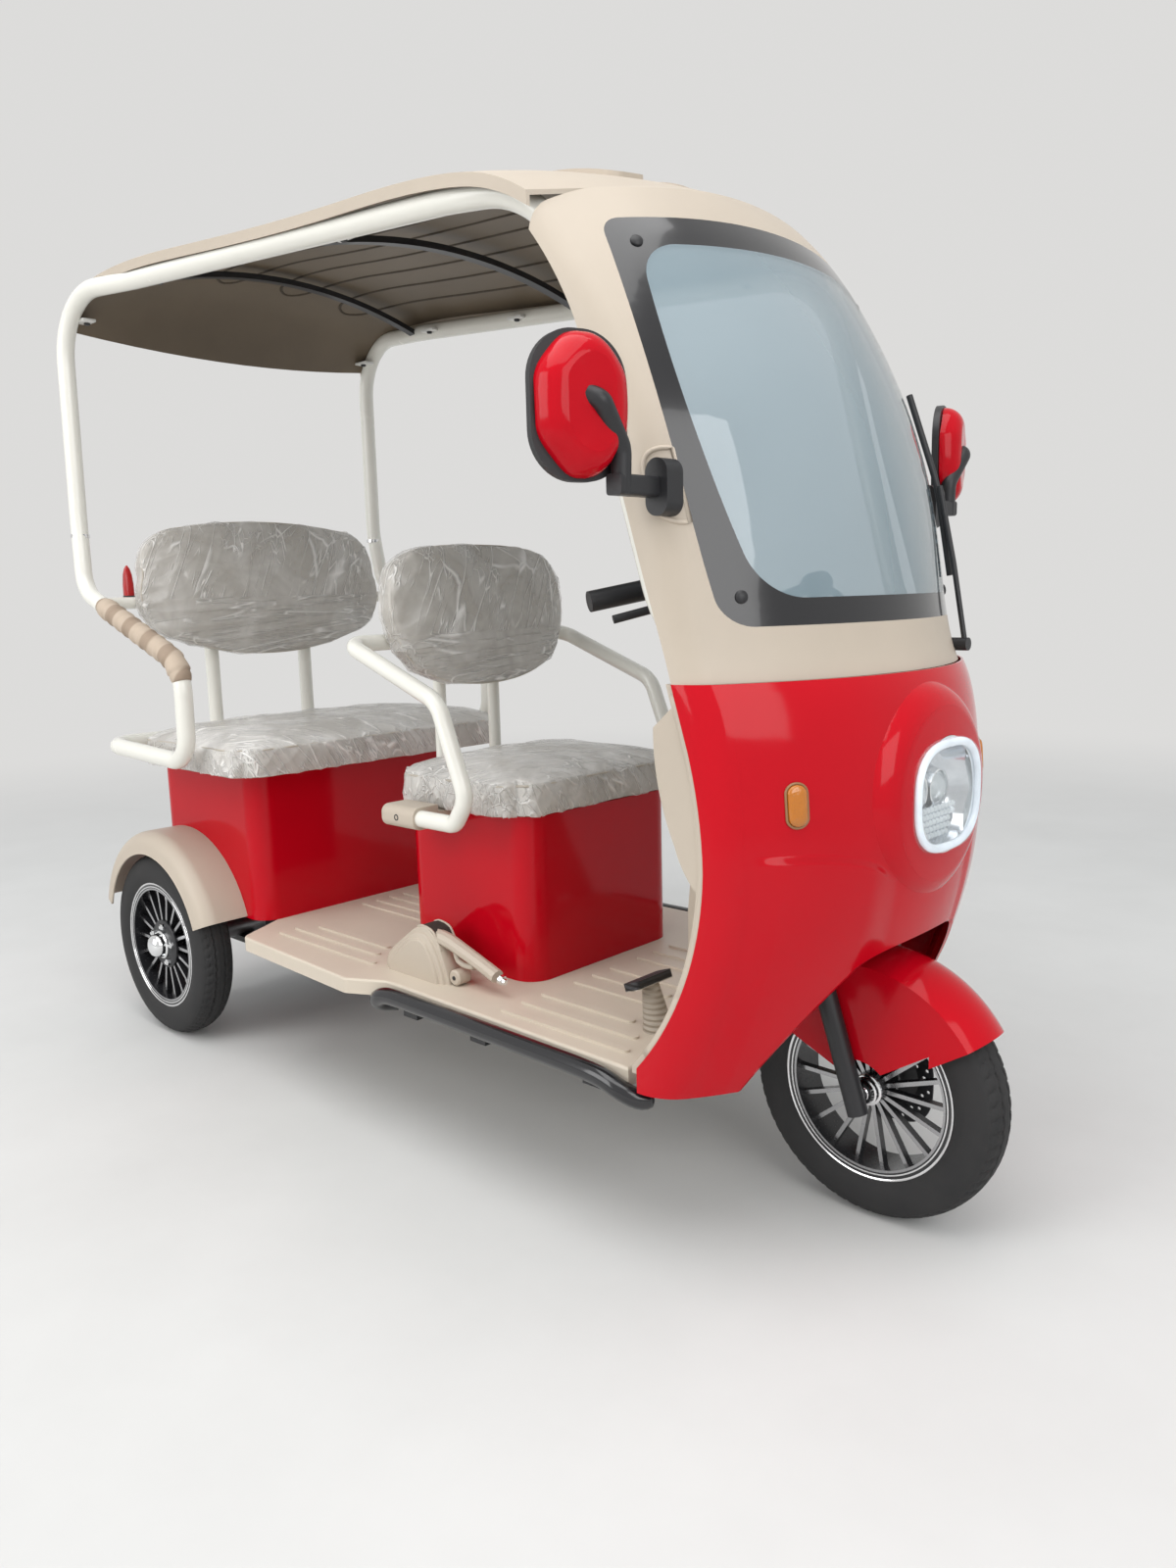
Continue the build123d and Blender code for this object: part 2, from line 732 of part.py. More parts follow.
for side_name, side in (("right", -1), ("left", 1)):
    with BuildPart() as side_frame:
        add(side_tube(side, tube_diameter))
    side_frame.part.label = "side_frame_" + side_name
    export_step(side_frame.part, f"parts/side_frame_{side_name}.step")
with BuildPart() as tube_clearance:
    add(side_tube(-1, tube_diameter + 0.6))
    add(side_tube(1, tube_diameter + 0.6))

# Rear back frame: two cross tubes, two posts and feet on the rear box
back_frame_x = -899.0
upper_tube_z = 1026.0
upper_tube_radius = 14.0
rear_face_x = rear_back_x + (rear_back_shape[1] - upper_tube_z) * tan(radians(rear_lean))
upper_tube_x = rear_face_x - back_thickness / 2 / cos(radians(rear_lean)) - upper_tube_radius - 0.3
back_post_y = 135.0
back_post_radius = 17.0
with BuildPart() as rear_back_frame:
    with BuildSketch(Plane(origin=(back_frame_x, 0, 700), x_dir=(1, 0, 0), z_dir=(0, 1, 0))):
        Circle(tube_diameter / 2)
    extrude(amount=340, both=True)
    with BuildSketch(Plane(origin=(upper_tube_x, 0, upper_tube_z), x_dir=(1, 0, 0), z_dir=(0, 1, 0))):
        Circle(upper_tube_radius)
    extrude(amount=frame_y - 16, both=True)
    for side in (-1, 1):
        with BuildSketch(Plane(origin=(upper_tube_x - 4, side * back_post_y, 690))):
            Circle(back_post_radius)
        extrude(amount=upper_tube_z - 690)
        with Locations((back_frame_x, side * 240.0, (rear_box_top + 0.3 + 700) / 2)):
            Box(30, 40, 700 - rear_box_top - 0.3)
    add(tube_clearance.part, mode=Mode.SUBTRACT)
rear_back_frame.part.label = "rear_back_frame"
export_step(rear_back_frame.part, "parts/rear_back_frame.step")

# Roof panel, cut at the seam with the cowl, with three raised pads at its front
pad_rise = 8.0
pad_width = 104.0
pad_spacing = 148.0
pad_start = 318.0
pad_end = 505.0
with BuildPart() as roof_pads:
    with BuildSketch(Plane.XY.offset(1500)):
        with GridLocations(0, pad_spacing, 1, 3):
            with Locations(((pad_start + pad_end) / 2, 0)):
                RectangleRounded(pad_end - pad_start, pad_width, 34)
    extrude(amount=300, taper=3)
    loft(
        sections=[roof_block(row[0], row[1] + pad_rise, row[2] + pad_rise) for row in roof_stations[4:]],
        mode=Mode.INTERSECT,
    )
    loft(sections=[roof_block(row[0], row[1] - 2, row[2] - 2) for row in roof_stations[4:]], mode=Mode.SUBTRACT)
with BuildPart() as roof_panel:
    loft(sections=[roof_band(*row) for row in roof_stations])
    add(roof_pads.part)
    with BuildSketch(Plane.XY.offset(1300)):
        Rectangle(3000, 1200)
        with Locations((seam_x - seam_bow, 0)):
            Circle(seam_bow, mode=Mode.SUBTRACT)
    extrude(amount=700, mode=Mode.SUBTRACT)
    add(tube_clearance.part, mode=Mode.SUBTRACT)
roof_panel.part.label = "roof_panel"
export_step(roof_panel.part, "parts/roof_panel.step")

# Roof bows: two arched flats with end blocks on the side tubes
# Columns: place along X, height of the middle, height of the ends, half length
bow_table = (
    (-704.0, 1764.0, 1702.0, 372.0),
    (-106.0, 1710.0, 1654.0, 368.0),
)
with BuildPart() as roof_bows:
    for bow_x, bow_middle, bow_end, bow_half in bow_table:
        with BuildSketch(Plane.YZ.offset(bow_x - 11)):
            with BuildLine():
                ThreePointArc((-bow_half, bow_end), (0, bow_middle), (bow_half, bow_end))
                Line((bow_half, bow_end), (bow_half, bow_end - 12))
                ThreePointArc((bow_half, bow_end - 12), (0, bow_middle - 12), (-bow_half, bow_end - 12))
                Line((-bow_half, bow_end - 12), (-bow_half, bow_end))
            make_face()
        extrude(amount=22)
    add(tube_clearance.part, mode=Mode.SUBTRACT)
roof_bows.part.label = "roof_bows"
export_step(roof_bows.part, "parts/roof_bows.step")

# Upper cowl, windshield border and glass share one moulded skin
border_plan = window_outline(border_top, border_middle, border_low, border_crown, 36, 48)
glass_plan = window_outline(glass_top, glass_middle, glass_low, glass_crown, 74, 88)
cowl_roof = roof_stations[5:] + ((1000.0, 1300.0, 1480.0),)
hollow_stations = ((belt_z - 1, upper_stations[0][1], upper_stations[0][2]),) + upper_stations[1:]
with BuildPart() as upper_hollow:
    loft(sections=[plan_outline(*row, inset=cowl_wall) for row in hollow_stations])
    loft(sections=[roof_block(row[0], row[1] - roof_wall, row[2] - roof_wall) for row in cowl_roof], mode=Mode.INTERSECT)
with BuildPart() as upper_skin:
    loft(sections=[plan_outline(*row) for row in upper_stations])
    loft(sections=[roof_block(*row) for row in cowl_roof], mode=Mode.INTERSECT)
    add(upper_hollow.part, mode=Mode.SUBTRACT)
    extrude(door_region(0.0, 700.0, 1900.0), amount=600, both=True, mode=Mode.SUBTRACT)
    with BuildSketch(Plane.XY.offset(1300)):
        with Locations((seam_x - seam_bow, 0)):
            Circle(seam_bow)
    extrude(amount=700, mode=Mode.SUBTRACT)
    add(tube_clearance.part, mode=Mode.SUBTRACT)

with BuildPart() as cowl_upper:
    add(upper_skin.part)
    extrude(border_plan, amount=1200, mode=Mode.SUBTRACT)
cowl_upper.part.label = "cowl_upper"
export_step(cowl_upper.part, "parts/cowl_upper.step")

with BuildPart() as windshield_border:
    add(upper_skin.part)
    extrude(border_plan, amount=1200, mode=Mode.INTERSECT)
    extrude(glass_plan, amount=1200, mode=Mode.SUBTRACT)
windshield_border.part.label = "windshield_border"
export_step(windshield_border.part, "parts/windshield_border.step")

with BuildPart() as windshield_glass:
    add(upper_skin.part)
    extrude(glass_plan, amount=1200, mode=Mode.INTERSECT)
windshield_glass.part.label = "windshield_glass"
export_step(windshield_glass.part, "parts/windshield_glass.step")

# Lower cowl with the wheel arch and the round headlight bulge
with BuildPart() as cowl_lower:
    add(cowl_skin(lower_stations))
    extrude(door_region(0.0, 200.0, 1000.0), amount=600, both=True, mode=Mode.SUBTRACT)
    with BuildSketch(Plane.XZ):
        with BuildLine():
            Line((900, lamp_z), (900, lamp_z + bulge_radius + 14))
            Line((900, lamp_z + bulge_radius + 14), (936, lamp_z + bulge_radius + 10))
            ThreePointArc(
                (936, lamp_z + bulge_radius + 10),
                (959, lamp_z + bulge_radius - 8),
                (bulge_x - 2, lamp_z + lamp_radius + 34),
            )
            ThreePointArc(
                (bulge_x - 2, lamp_z + lamp_radius + 34),
                (bulge_x + 1, lamp_z + lamp_radius + 12),
                (bulge_x, lamp_z),
            )
            Line((bulge_x, lamp_z), (900, lamp_z))
        make_face()
    revolve(axis=Axis((900, 0, lamp_z), (1, 0, 0)))
    with BuildSketch(Plane.YZ.offset(726)):
        with Locations((0, lamp_z)):
            Circle(bulge_radius - 26)
    extrude(amount=bulge_x - 726 - cowl_wall, mode=Mode.SUBTRACT)
    with BuildSketch(Plane.YZ.offset(726)):
        with Locations((0, lamp_z)):
            Circle(lamp_radius + 0.3)
    extrude(amount=400, mode=Mode.SUBTRACT)
    with BuildSketch(Plane.XZ):
        with BuildLine():
            Line((626, 100), (626, cowl_bottom_z))
            Line((626, cowl_bottom_z), (792, cowl_bottom_z))
            Line((792, cowl_bottom_z), (908, 460))
            ThreePointArc((908, 460), (934, 487), (966, underside_z))
            Line((966, underside_z), (1226, underside_z))
            Line((1226, underside_z), (1226, 100))
            Line((1226, 100), (626, 100))
        make_face()
    extrude(amount=600, both=True, mode=Mode.SUBTRACT)
cowl_lower.part.label = "cowl_lower"
export_step(cowl_lower.part, "parts/cowl_lower.step")

# Leg shield: a wall behind the door edges, the wheel well and the column cover
shield_wall = 12.0
well_outer = 284.0
well_inner = 279.0
tunnel_half = 72.0
tunnel_wall = 4.0
with BuildPart() as shield_space:
    loft(sections=[plan_outline(*row, inset=cowl_wall) for row in lower_stations])
with BuildPart() as bulkhead:
    extrude(door_region(0.0, floor_z + 1, belt_z - 2), amount=600, both=True)
    extrude(door_region(shield_wall, 200.0, 1100.0), amount=620, both=True, mode=Mode.SUBTRACT)
    add(shield_space.part, mode=Mode.INTERSECT)
    with BuildSketch(Plane.XZ):
        with Locations((front_axle_x, wheel_radius)):
            Circle(well_outer)
    extrude(amount=well_half - 5, both=True, mode=Mode.SUBTRACT)
    with Locations((726, 0, 700)):
        Box(400, 2 * (tunnel_half - tunnel_wall), 600, mode=Mode.SUBTRACT)

# Column cover and the wheel hump behind the leg shield
with BuildPart() as column_cover:
    with BuildSketch(Plane.XZ):
        Polygon((532, floor_z + 1), (532, 470), (578, 898), (796, 898), (796, floor_z + 1), align=None)
    extrude(amount=tunnel_half, both=True)
    fillet(column_cover.edges().filter_by(Axis.Y).sort_by(Axis.X)[:3], 12)
    with BuildSketch(Plane.XZ):
        Polygon((536, floor_z), (536, 470), (582, 899), (797, 899), (797, floor_z), align=None)
    extrude(amount=tunnel_half - tunnel_wall, both=True, mode=Mode.SUBTRACT)
    with BuildSketch(Plane.XZ):
        with Locations((front_axle_x, wheel_radius)):
            Circle(well_outer)
    extrude(amount=well_half, both=True, mode=Mode.SUBTRACT)
    with Locations((572, 0, floor_z)):
        Box(106, 100, 20, mode=Mode.SUBTRACT)
with BuildPart() as wheel_hump:
    with BuildSketch(Plane.XZ):
        with Locations((front_axle_x, wheel_radius)):
            Circle(well_outer)
    extrude(amount=well_half, both=True)
    with BuildSketch(Plane.XZ):
        with Locations((front_axle_x, wheel_radius)):
            Circle(well_inner)
    extrude(amount=well_half - 5, both=True, mode=Mode.SUBTRACT)
    with Locations((front_axle_x, 0, floor_z - 400)):
        Box(800, 800, 800, mode=Mode.SUBTRACT)
    extrude(door_region(1.0, 200.0, 1100.0), amount=400, both=True, mode=Mode.INTERSECT)
    with Locations((766, 0, 600)):
        Box(200, 2 * (tunnel_half - tunnel_wall), 400, mode=Mode.SUBTRACT)
wing_outer = 380.6
wing_wall = 5.0
with BuildPart() as side_wings:
    with BuildSketch(Plane.XZ):
        with BuildLine():
            Polyline((800, 600), (800, 874), (748, 866), (716, 838))
            ThreePointArc((716, 838), (726, 745), (752, 672))
            ThreePointArc((752, 672), (770, 634), (800, 600))
        make_face()
    extrude(amount=wing_outer, both=True)
    with BuildSketch(Plane.XZ):
        Rectangle(2400, 2400)
    extrude(amount=wing_outer - wing_wall, both=True, mode=Mode.SUBTRACT)
    add(scale(shield_space.part, by=(1, 0.997, 1), mode=Mode.PRIVATE), mode=Mode.INTERSECT)
with BuildPart() as leg_shield:
    add(bulkhead.part)
    add(wheel_hump.part)
    add(column_cover.part)
    extrude(door_region(0.0, 200.0, 1100.0), amount=500, both=True, mode=Mode.INTERSECT)
    add(side_wings.part)
    add(tube_clearance.part, mode=Mode.SUBTRACT)
leg_shield.part.label = "leg_shield"
export_step(leg_shield.part, "parts/leg_shield.step")

# Dashboard: a shelf inside the cowl and an instrument pod ahead of the steering stem
dash_z = belt_z + 0.3
dash_front = 898.0
dash_back = 768.0
dash_low = (belt_z - 10, upper_stations[0][1], upper_stations[0][2])
with BuildPart() as dash_space:
    loft(sections=[plan_outline(*row, inset=cowl_wall + 0.6) for row in (dash_low,) + upper_stations[1:]])
with BuildPart() as dashboard:
    with BuildSketch(Plane.XZ):
        Polygon((dash_back, dash_z), (dash_back, dash_z + 6), (dash_front, dash_z + 6), (dash_front, dash_z), align=None)
    extrude(amount=320, both=True)
    add(dash_space.part, mode=Mode.INTERSECT)
    with BuildSketch(Plane.XZ):
        Polygon((666, dash_z), (674, 962), (706, 990), (dash_back, 990), (dash_back, dash_z), align=None)
    extrude(amount=110, both=True)
    add(tube_clearance.part, mode=Mode.SUBTRACT)
dashboard.part.label = "dashboard"
export_step(dashboard.part, "parts/dashboard.step")

# Wiper: parked upright along the left side of the glass
with BuildPart() as upper_face:
    loft(sections=[plan_outline(*row, inset=-0.3) for row in upper_stations])
wiper_y = 250.0
wiper_arm = [(878.0, wiper_y, 925.0), (848.0, 262.0, 1060.0), (816.0, 268.0, 1190.0)]
wiper_blade = [(836.0, 274.0, 1040.0), (810.0, 272.0, 1190.0), (756.0, 268.0, 1345.0)]
with BuildPart() as wiper:
    with BuildSketch(Plane(origin=(816, wiper_y, 925), x_dir=(0, 1, 0), z_dir=(1, 0, 0))):
        Circle(11)
    extrude(amount=68)
    add(round_bar(wiper_arm, [300.0], 9.0))
    add(round_bar(wiper_blade, [400.0], 11.0))
    add(upper_face.part, mode=Mode.SUBTRACT)
wiper.part.label = "wiper"
export_step(wiper.part, "parts/wiper.step")

# Headlight body and lens
lamp_back_x = 914.0
with BuildPart() as headlight_body:
    with BuildSketch(Plane.YZ.offset(lamp_back_x)):
        with Locations((0, lamp_z)):
            Circle(lamp_radius)
    extrude(amount=bulge_x - lamp_back_x + 3)
    with BuildSketch(Plane.YZ.offset(lamp_back_x + 8)):
        with Locations((0, lamp_z)):
            Circle(lamp_radius - 5)
    extrude(amount=100, mode=Mode.SUBTRACT)
headlight_body.part.label = "headlight_body"
export_step(headlight_body.part, "parts/headlight_body.step")

lens_bow = 342.0
with BuildPart() as headlight_lens:
    with Locations((bulge_x + 14 - lens_bow, 0, lamp_z)):
        Sphere(lens_bow)
    with BuildSketch(Plane.YZ.offset(bulge_x - 14)):
        with Locations((0, lamp_z)):
            Circle(lamp_radius - 5.2)
    extrude(amount=60, mode=Mode.INTERSECT)
headlight_lens.part.label = "headlight_lens"
export_step(headlight_lens.part, "parts/headlight_lens.step")

# Front signals: upright pills standing on the cowl's outer face
signal_y = 284.0
signal_z = 731.0
with BuildPart() as signal_face:
    loft(sections=[plan_outline(row[0], row[1] + 5, row[2] + 5, -5.0) for row in lower_stations])
    loft(sections=[plan_outline(*row, inset=-0.3) for row in lower_stations], mode=Mode.SUBTRACT)
with BuildPart() as front_signals:
    for side in (-1, 1):
        with BuildSketch(Plane.YZ.offset(826)):
            with Locations((side * signal_y, signal_z)):
                SlotOverall(70, 34, rotation=90)
        extrude(amount=150)
    add(signal_face.part, mode=Mode.INTERSECT)
front_signals.part.label = "front_signals"
export_step(front_signals.part, "parts/front_signals.step")

# Mirrors: bracket on the pillar, post and arm, a rim, then a stadium shell with its glass
mirror_center = (706.0, 503.0, 1262.0)
mirror_yaw = 18.0
shell_half_width = 66.0
shell_half_height = 90.0
shell_corner = 60.0
shell_depth = 36.0
rim_depth = 12.0
rim_reach = 4.0
bracket_point = (741.0, 384.0, 1164.0)
arm_diameter = 27.0


def mirror_plane(side, shift):
    """The mirror's face plane, moved forwards by the shift; its normal looks ahead and outwards."""
    turn = radians(mirror_yaw)
    ahead = Vector(cos(turn), side * sin(turn), 0)
    origin = Vector(mirror_center[0], side * mirror_center[1], mirror_center[2]) + ahead * shift
    return Plane(origin=origin, x_dir=(-side * sin(turn), cos(turn), 0), z_dir=ahead)


with BuildPart() as mirror_arms:
    for side in (-1, 1):
        with BuildSketch(mirror_plane(side, -rim_depth)):
            RectangleRounded(2 * (shell_half_width + rim_reach), 2 * (shell_half_height + rim_reach), shell_corner + 3)
        extrude(amount=rim_depth)
        with BuildSketch(mirror_plane(side, -rim_depth)):
            RectangleRounded(2 * shell_half_width - 4, 2 * shell_half_height - 4, shell_corner - 1)
        extrude(amount=rim_depth - 5, mode=Mode.SUBTRACT)
    arm_points = [
        (mirror_center[0] + 24, mirror_center[1] + 10, mirror_center[2] + 10),
        (mirror_center[0] + 39, mirror_center[1] + 2, mirror_center[2] + 2),
        (mirror_center[0] + 32, mirror_center[1] - 42, mirror_center[2] - 52),
        (mirror_center[0] + 30, mirror_center[1] - 42, bracket_point[2] - 12),
    ]
    arm_bar = round_bar(arm_points, [11.0, 24.0], arm_diameter)
    block_length = mirror_center[1] - 42 - bracket_point[1] + 26
    block_y = bracket_point[1] + block_length / 2 - 12
    with BuildPart(mode=Mode.PRIVATE) as bracket:
        with Locations((mirror_center[0] + 30, block_y, bracket_point[2])):
            Box(26, block_length, 27)
        fillet(bracket.edges().filter_by(Axis.Y), 5)
        with BuildSketch(Plane.XZ.offset(-bracket_point[1] - 14)):
            with Locations((bracket_point[0] + 2, bracket_point[2])):
                SlotOverall(76, 38, rotation=90)
        extrude(amount=34)
        add(upper_face.part, mode=Mode.SUBTRACT)
    add(mirrored(arm_bar))
    add(mirrored(bracket.part))
mirror_arms.part.label = "mirror_arms"
export_step(mirror_arms.part, "parts/mirror_arms.step")

# Columns: place along the shell's depth, how far the outline is drawn in, corner radius
shell_sections = (
    (0.3, 0.0, shell_corner),
    (14.0, 3.0, shell_corner - 2),
    (26.0, 11.0, shell_corner - 9),
    (shell_depth, 30.0, shell_corner - 27),
)
with BuildPart() as mirror_shells:
    for side in (-1, 1):
        sections = []
        for depth, inset, corner in shell_sections:
            with BuildSketch(mirror_plane(side, depth), mode=Mode.PRIVATE) as section:
                RectangleRounded(2 * (shell_half_width - inset), 2 * (shell_half_height - inset), corner)
            sections.append(section.sketch)
        loft(sections=sections)
    add(mirror_arms.part, mode=Mode.SUBTRACT)
mirror_shells.part.label = "mirror_shells"
export_step(mirror_shells.part, "parts/mirror_shells.step")

with BuildPart() as mirror_glasses:
    for side in (-1, 1):
        with BuildSketch(mirror_plane(side, -9.3)):
            RectangleRounded(2 * shell_half_width - 4.6, 2 * shell_half_height - 4.6, shell_corner - 1.3)
        extrude(amount=4)
mirror_glasses.part.label = "mirror_glasses"
export_step(mirror_glasses.part, "parts/mirror_glasses.step")

# Rear fenders: quarter shells over the rear wheels, closed against the rear box
fender_radius = wheel_radius + 42.0
fender_lift = 12.0
fender_inner_y = rear_box_width / 2 + 0.3
fender_outer_y = rear_wheel_y + tyre_width / 2 + 12.0
fender_wall = 4.0
fender_rim = fender_radius - 50.0
with BuildPart() as rear_fenders:
    for side in (-1, 1):
        fender_plane = Plane(origin=(rear_axle_x, 0, wheel_radius + fender_lift), x_dir=(0, side, 0), z_dir=(1, 0, 0))
        with BuildSketch(fender_plane):
            with BuildLine():
                FilletPolyline(
                    (fender_inner_y, side * fender_radius),
                    (fender_outer_y - 8, side * fender_radius),
                    (fender_outer_y, side * fender_rim),
                    radius=34,
                )
                Line((fender_outer_y, side * fender_rim), (fender_outer_y - fender_wall, side * fender_rim))
                FilletPolyline(
                    (fender_outer_y - fender_wall, side * fender_rim),
                    (fender_outer_y - 8 - fender_wall, side * (fender_radius - fender_wall)),
                    (fender_inner_y, side * (fender_radius - fender_wall)),
                    radius=30,
                )
                Line((fender_inner_y, side * (fender_radius - fender_wall)), (fender_inner_y, side * fender_radius))
            make_face()
        revolve(axis=Axis((rear_axle_x, 0, wheel_radius + fender_lift), (0, 1, 0)), revolution_arc=360)
    with BuildSketch(Plane.XZ):
        Polygon(
            (rear_axle_x, wheel_radius),
            (rear_axle_x + 500, wheel_radius + 190),
            (rear_axle_x + 500, -300),
            (rear_axle_x - 500, -300),
            (rear_axle_x - 500, wheel_radius + 170),
            align=None,
        )
    extrude(amount=600, both=True, mode=Mode.SUBTRACT)
rear_fenders.part.label = "rear_fenders"
export_step(rear_fenders.part, "parts/rear_fenders.step")

# Rear axle tube with spring seats and two stub ends that carry the wheels
axle_tube_radius = 25.0
spring_y = 200.0
with BuildPart() as rear_axle:
    with BuildSketch(Plane(origin=(rear_axle_x, 0, wheel_radius), x_dir=(1, 0, 0), z_dir=(0, 1, 0))):
        Circle(axle_tube_radius)
    extrude(amount=rear_wheel_y - drum_width - 8, both=True)
    with BuildSketch(Plane(origin=(rear_axle_x, 0, wheel_radius), x_dir=(1, 0, 0), z_dir=(0, 1, 0))):
        Circle(axle_radius - running_gap)
    extrude(amount=rear_wheel_y + hub_width / 2, both=True)
rear_axle.part.label = "rear_axle"
export_step(rear_axle.part, "parts/rear_axle.step")

with BuildPart() as drive_motor:
    with BuildSketch(Plane(origin=(rear_axle_x, 0, wheel_radius), x_dir=(1, 0, 0), z_dir=(0, 1, 0))):
        Circle(floor_z - 6 - wheel_radius)
        Circle(axle_tube_radius, mode=Mode.SUBTRACT)
    extrude(amount=95, both=True)
drive_motor.part.label = "drive_motor"
export_step(drive_motor.part, "parts/drive_motor.step")

# Leaf springs under the axle with hangers up to the chassis rails
spring_top = wheel_radius - axle_tube_radius - 0.3
hanger_top = floor_z - 0.6 - rear_rail_height
with BuildPart() as rear_springs:
    for side in (-1, 1):
        with BuildSketch(Plane.XZ.offset(-side * chassis_y - 20)):
            Polygon(
                (-972, spring_top + 14),
                (-972, hanger_top),
                (-950, hanger_top),
                (-950, spring_top + 24),
                (rear_axle_x - 60, spring_top),
                (rear_axle_x + 60, spring_top),
                (-678, spring_top + 24),
                (-678, hanger_top),
                (-656, hanger_top),
                (-656, spring_top + 14),
                (rear_axle_x + 60, spring_top - 14),
                (rear_axle_x - 60, spring_top - 14),
                align=None,
            )
        extrude(amount=40)
rear_springs.part.label = "rear_springs"
export_step(rear_springs.part, "parts/rear_springs.step")

# Parking brake: wedge housing on the floor beside the driver box and its lever
brake_y = -285.0
brake_base = floor_z + 0.3
with BuildPart() as parking_brake:
    with BuildSketch(Plane.XZ.offset(-brake_y - 30)):
        Polygon(
            (-44, brake_base),
            (-38, 338),
            (22, 384),
            (66, 414),
            (106, 406),
            (140, 344),
            (148, brake_base),
            align=None,
        )
    extrude(amount=60)
    fillet(parking_brake.edges().filter_by(Axis.Y).sort_by(Axis.Z)[2:], 10)
    add(round_bar([(104, brake_y, 394), (180, brake_y, 374), (262, brake_y, 347)], [300], 28))
    with BuildSketch(Plane(origin=(260, brake_y, 347.6), x_dir=(0, 1, 0), z_dir=(82, 0, -27))):
        Circle(10)
    extrude(amount=16)
parking_brake.part.label = "parking_brake"
export_step(parking_brake.part, "parts/parking_brake.step")

# Brake pedal: a pad on a bellows stalk
pedal_x = 586.0
pedal_y = -222.0
with BuildPart() as brake_pedal:
    with BuildSketch(Plane.XY.offset(floor_z + 0.3)):
        with Locations((pedal_x, pedal_y)):
            Circle(26)
    with BuildSketch(Plane.XY.offset(floor_z + 78)):
        with Locations((pedal_x - 16, pedal_y)):
            Circle(14)
    loft()
    pad_plane = Plane(origin=(pedal_x - 18, pedal_y, floor_z + 74), x_dir=(0, 1, 0), z_dir=(-0.35, 0, 1))
    with BuildSketch(pad_plane):
        RectangleRounded(92, 34, 8)
    extrude(amount=14)
brake_pedal.part.label = "brake_pedal"
export_step(brake_pedal.part, "parts/brake_pedal.step")

# Tail lamps: tapered blocks that stand on the upper cross tube behind the rear back
lamp_front = upper_tube_x - 1.7
lamp_base = upper_tube_z + upper_tube_radius + 0.3
with BuildPart() as tail_lamps:
    with BuildSketch(Plane.XY.offset(lamp_base)):
        with Locations((lamp_front - 13, 341), (lamp_front - 13, -341)):
            RectangleRounded(26, 46, 8)
    extrude(amount=74, taper=6)
tail_lamps.part.label = "tail_lamps"
export_step(tail_lamps.part, "parts/tail_lamps.step")

# Fork: two legs, axle pin, lower crown and the stem
with BuildPart() as fork:
    for side in (-1, 1):
        leg_foot = axle_point - axis_up * 26 + Vector(0, side * leg_y, 0)
        with BuildSketch(Plane(origin=leg_foot, x_dir=axis_ahead, z_dir=axis_up)):
            Circle(leg_radius)
        extrude(amount=crown_height + crown_thickness / 2 + 26)
    with BuildSketch(axis_plane(crown_height)):
        with Locations((axle_lead, 0)):
            SlotOverall(2 * leg_y + 44, 44, rotation=90)
        Circle(27)
    extrude(amount=crown_thickness)
    with BuildSketch(axis_plane(crown_height + 4)):
        Circle(stem_radius - running_gap)
    extrude(amount=stem_top - crown_height - 4)
    with BuildSketch(Plane(origin=axle_point, x_dir=(1, 0, 0), z_dir=(0, 1, 0))):
        Circle(axle_radius - running_gap)
    extrude(amount=leg_y, both=True)
fork.part.label = "fork"
export_step(fork.part, "parts/fork.step")

# Handlebar: one bent tube with two grips, switch housings and hand levers, clamped round the stem
stem_head = axis_foot + axis_up * (stem_top - 22)
grip_end = (550.0, 327.0, 1013.0)
grip_start = (612.0, 226.0, 1034.0)
bar_points = [
    grip_end,
    grip_start,
    (stem_head.X + 24, 66.0, stem_head.Z + 6),
    (stem_head.X + 24, -66.0, stem_head.Z + 6),
    (grip_start[0], -grip_start[1], grip_start[2]),
    (grip_end[0], -grip_end[1], grip_end[2]),
]
lever_points = [(612.0, 214.0, 1030.0), (640.0, 236.0, 1012.0), (628.0, 272.0, 1000.0), (590.0, 318.0, 986.0)]
with BuildPart() as handlebar:
    with BuildSketch(axis_plane(stem_top - 44)):
        RectangleRounded(62, 52, 14)
    extrude(amount=44)
    add(round_bar(bar_points, [50.0, 50.0, 50.0, 50.0], 2 * bar_radius))
    for side in (-1, 1):
        with BuildLine() as grip_line:
            Line((grip_end[0], side * grip_end[1], grip_end[2]), (grip_start[0] - 4, side * (grip_start[1] + 6.5), grip_start[2] - 1.4))
        with BuildSketch(grip_line.line ^ 0):
            Circle(grip_radius)
        sweep(path=grip_line.line)
        with BuildLine() as housing_line:
            Line((grip_start[0] - 3, side * (grip_start[1] + 5), grip_start[2] - 1), (618.0, side * 186.0, 1029.0))
        with BuildSketch(housing_line.line ^ 0):
            Circle(22)
        sweep(path=housing_line.line)
        add(round_bar([(x, side * y, z) for x, y, z in lever_points], [16.0, 30.0], 13.0))
    with BuildSketch(axis_plane(stem_top - 60)):
        Circle(stem_radius)
    extrude(amount=80, mode=Mode.SUBTRACT)
handlebar.part.label = "handlebar"
export_step(handlebar.part, "parts/handlebar.step")

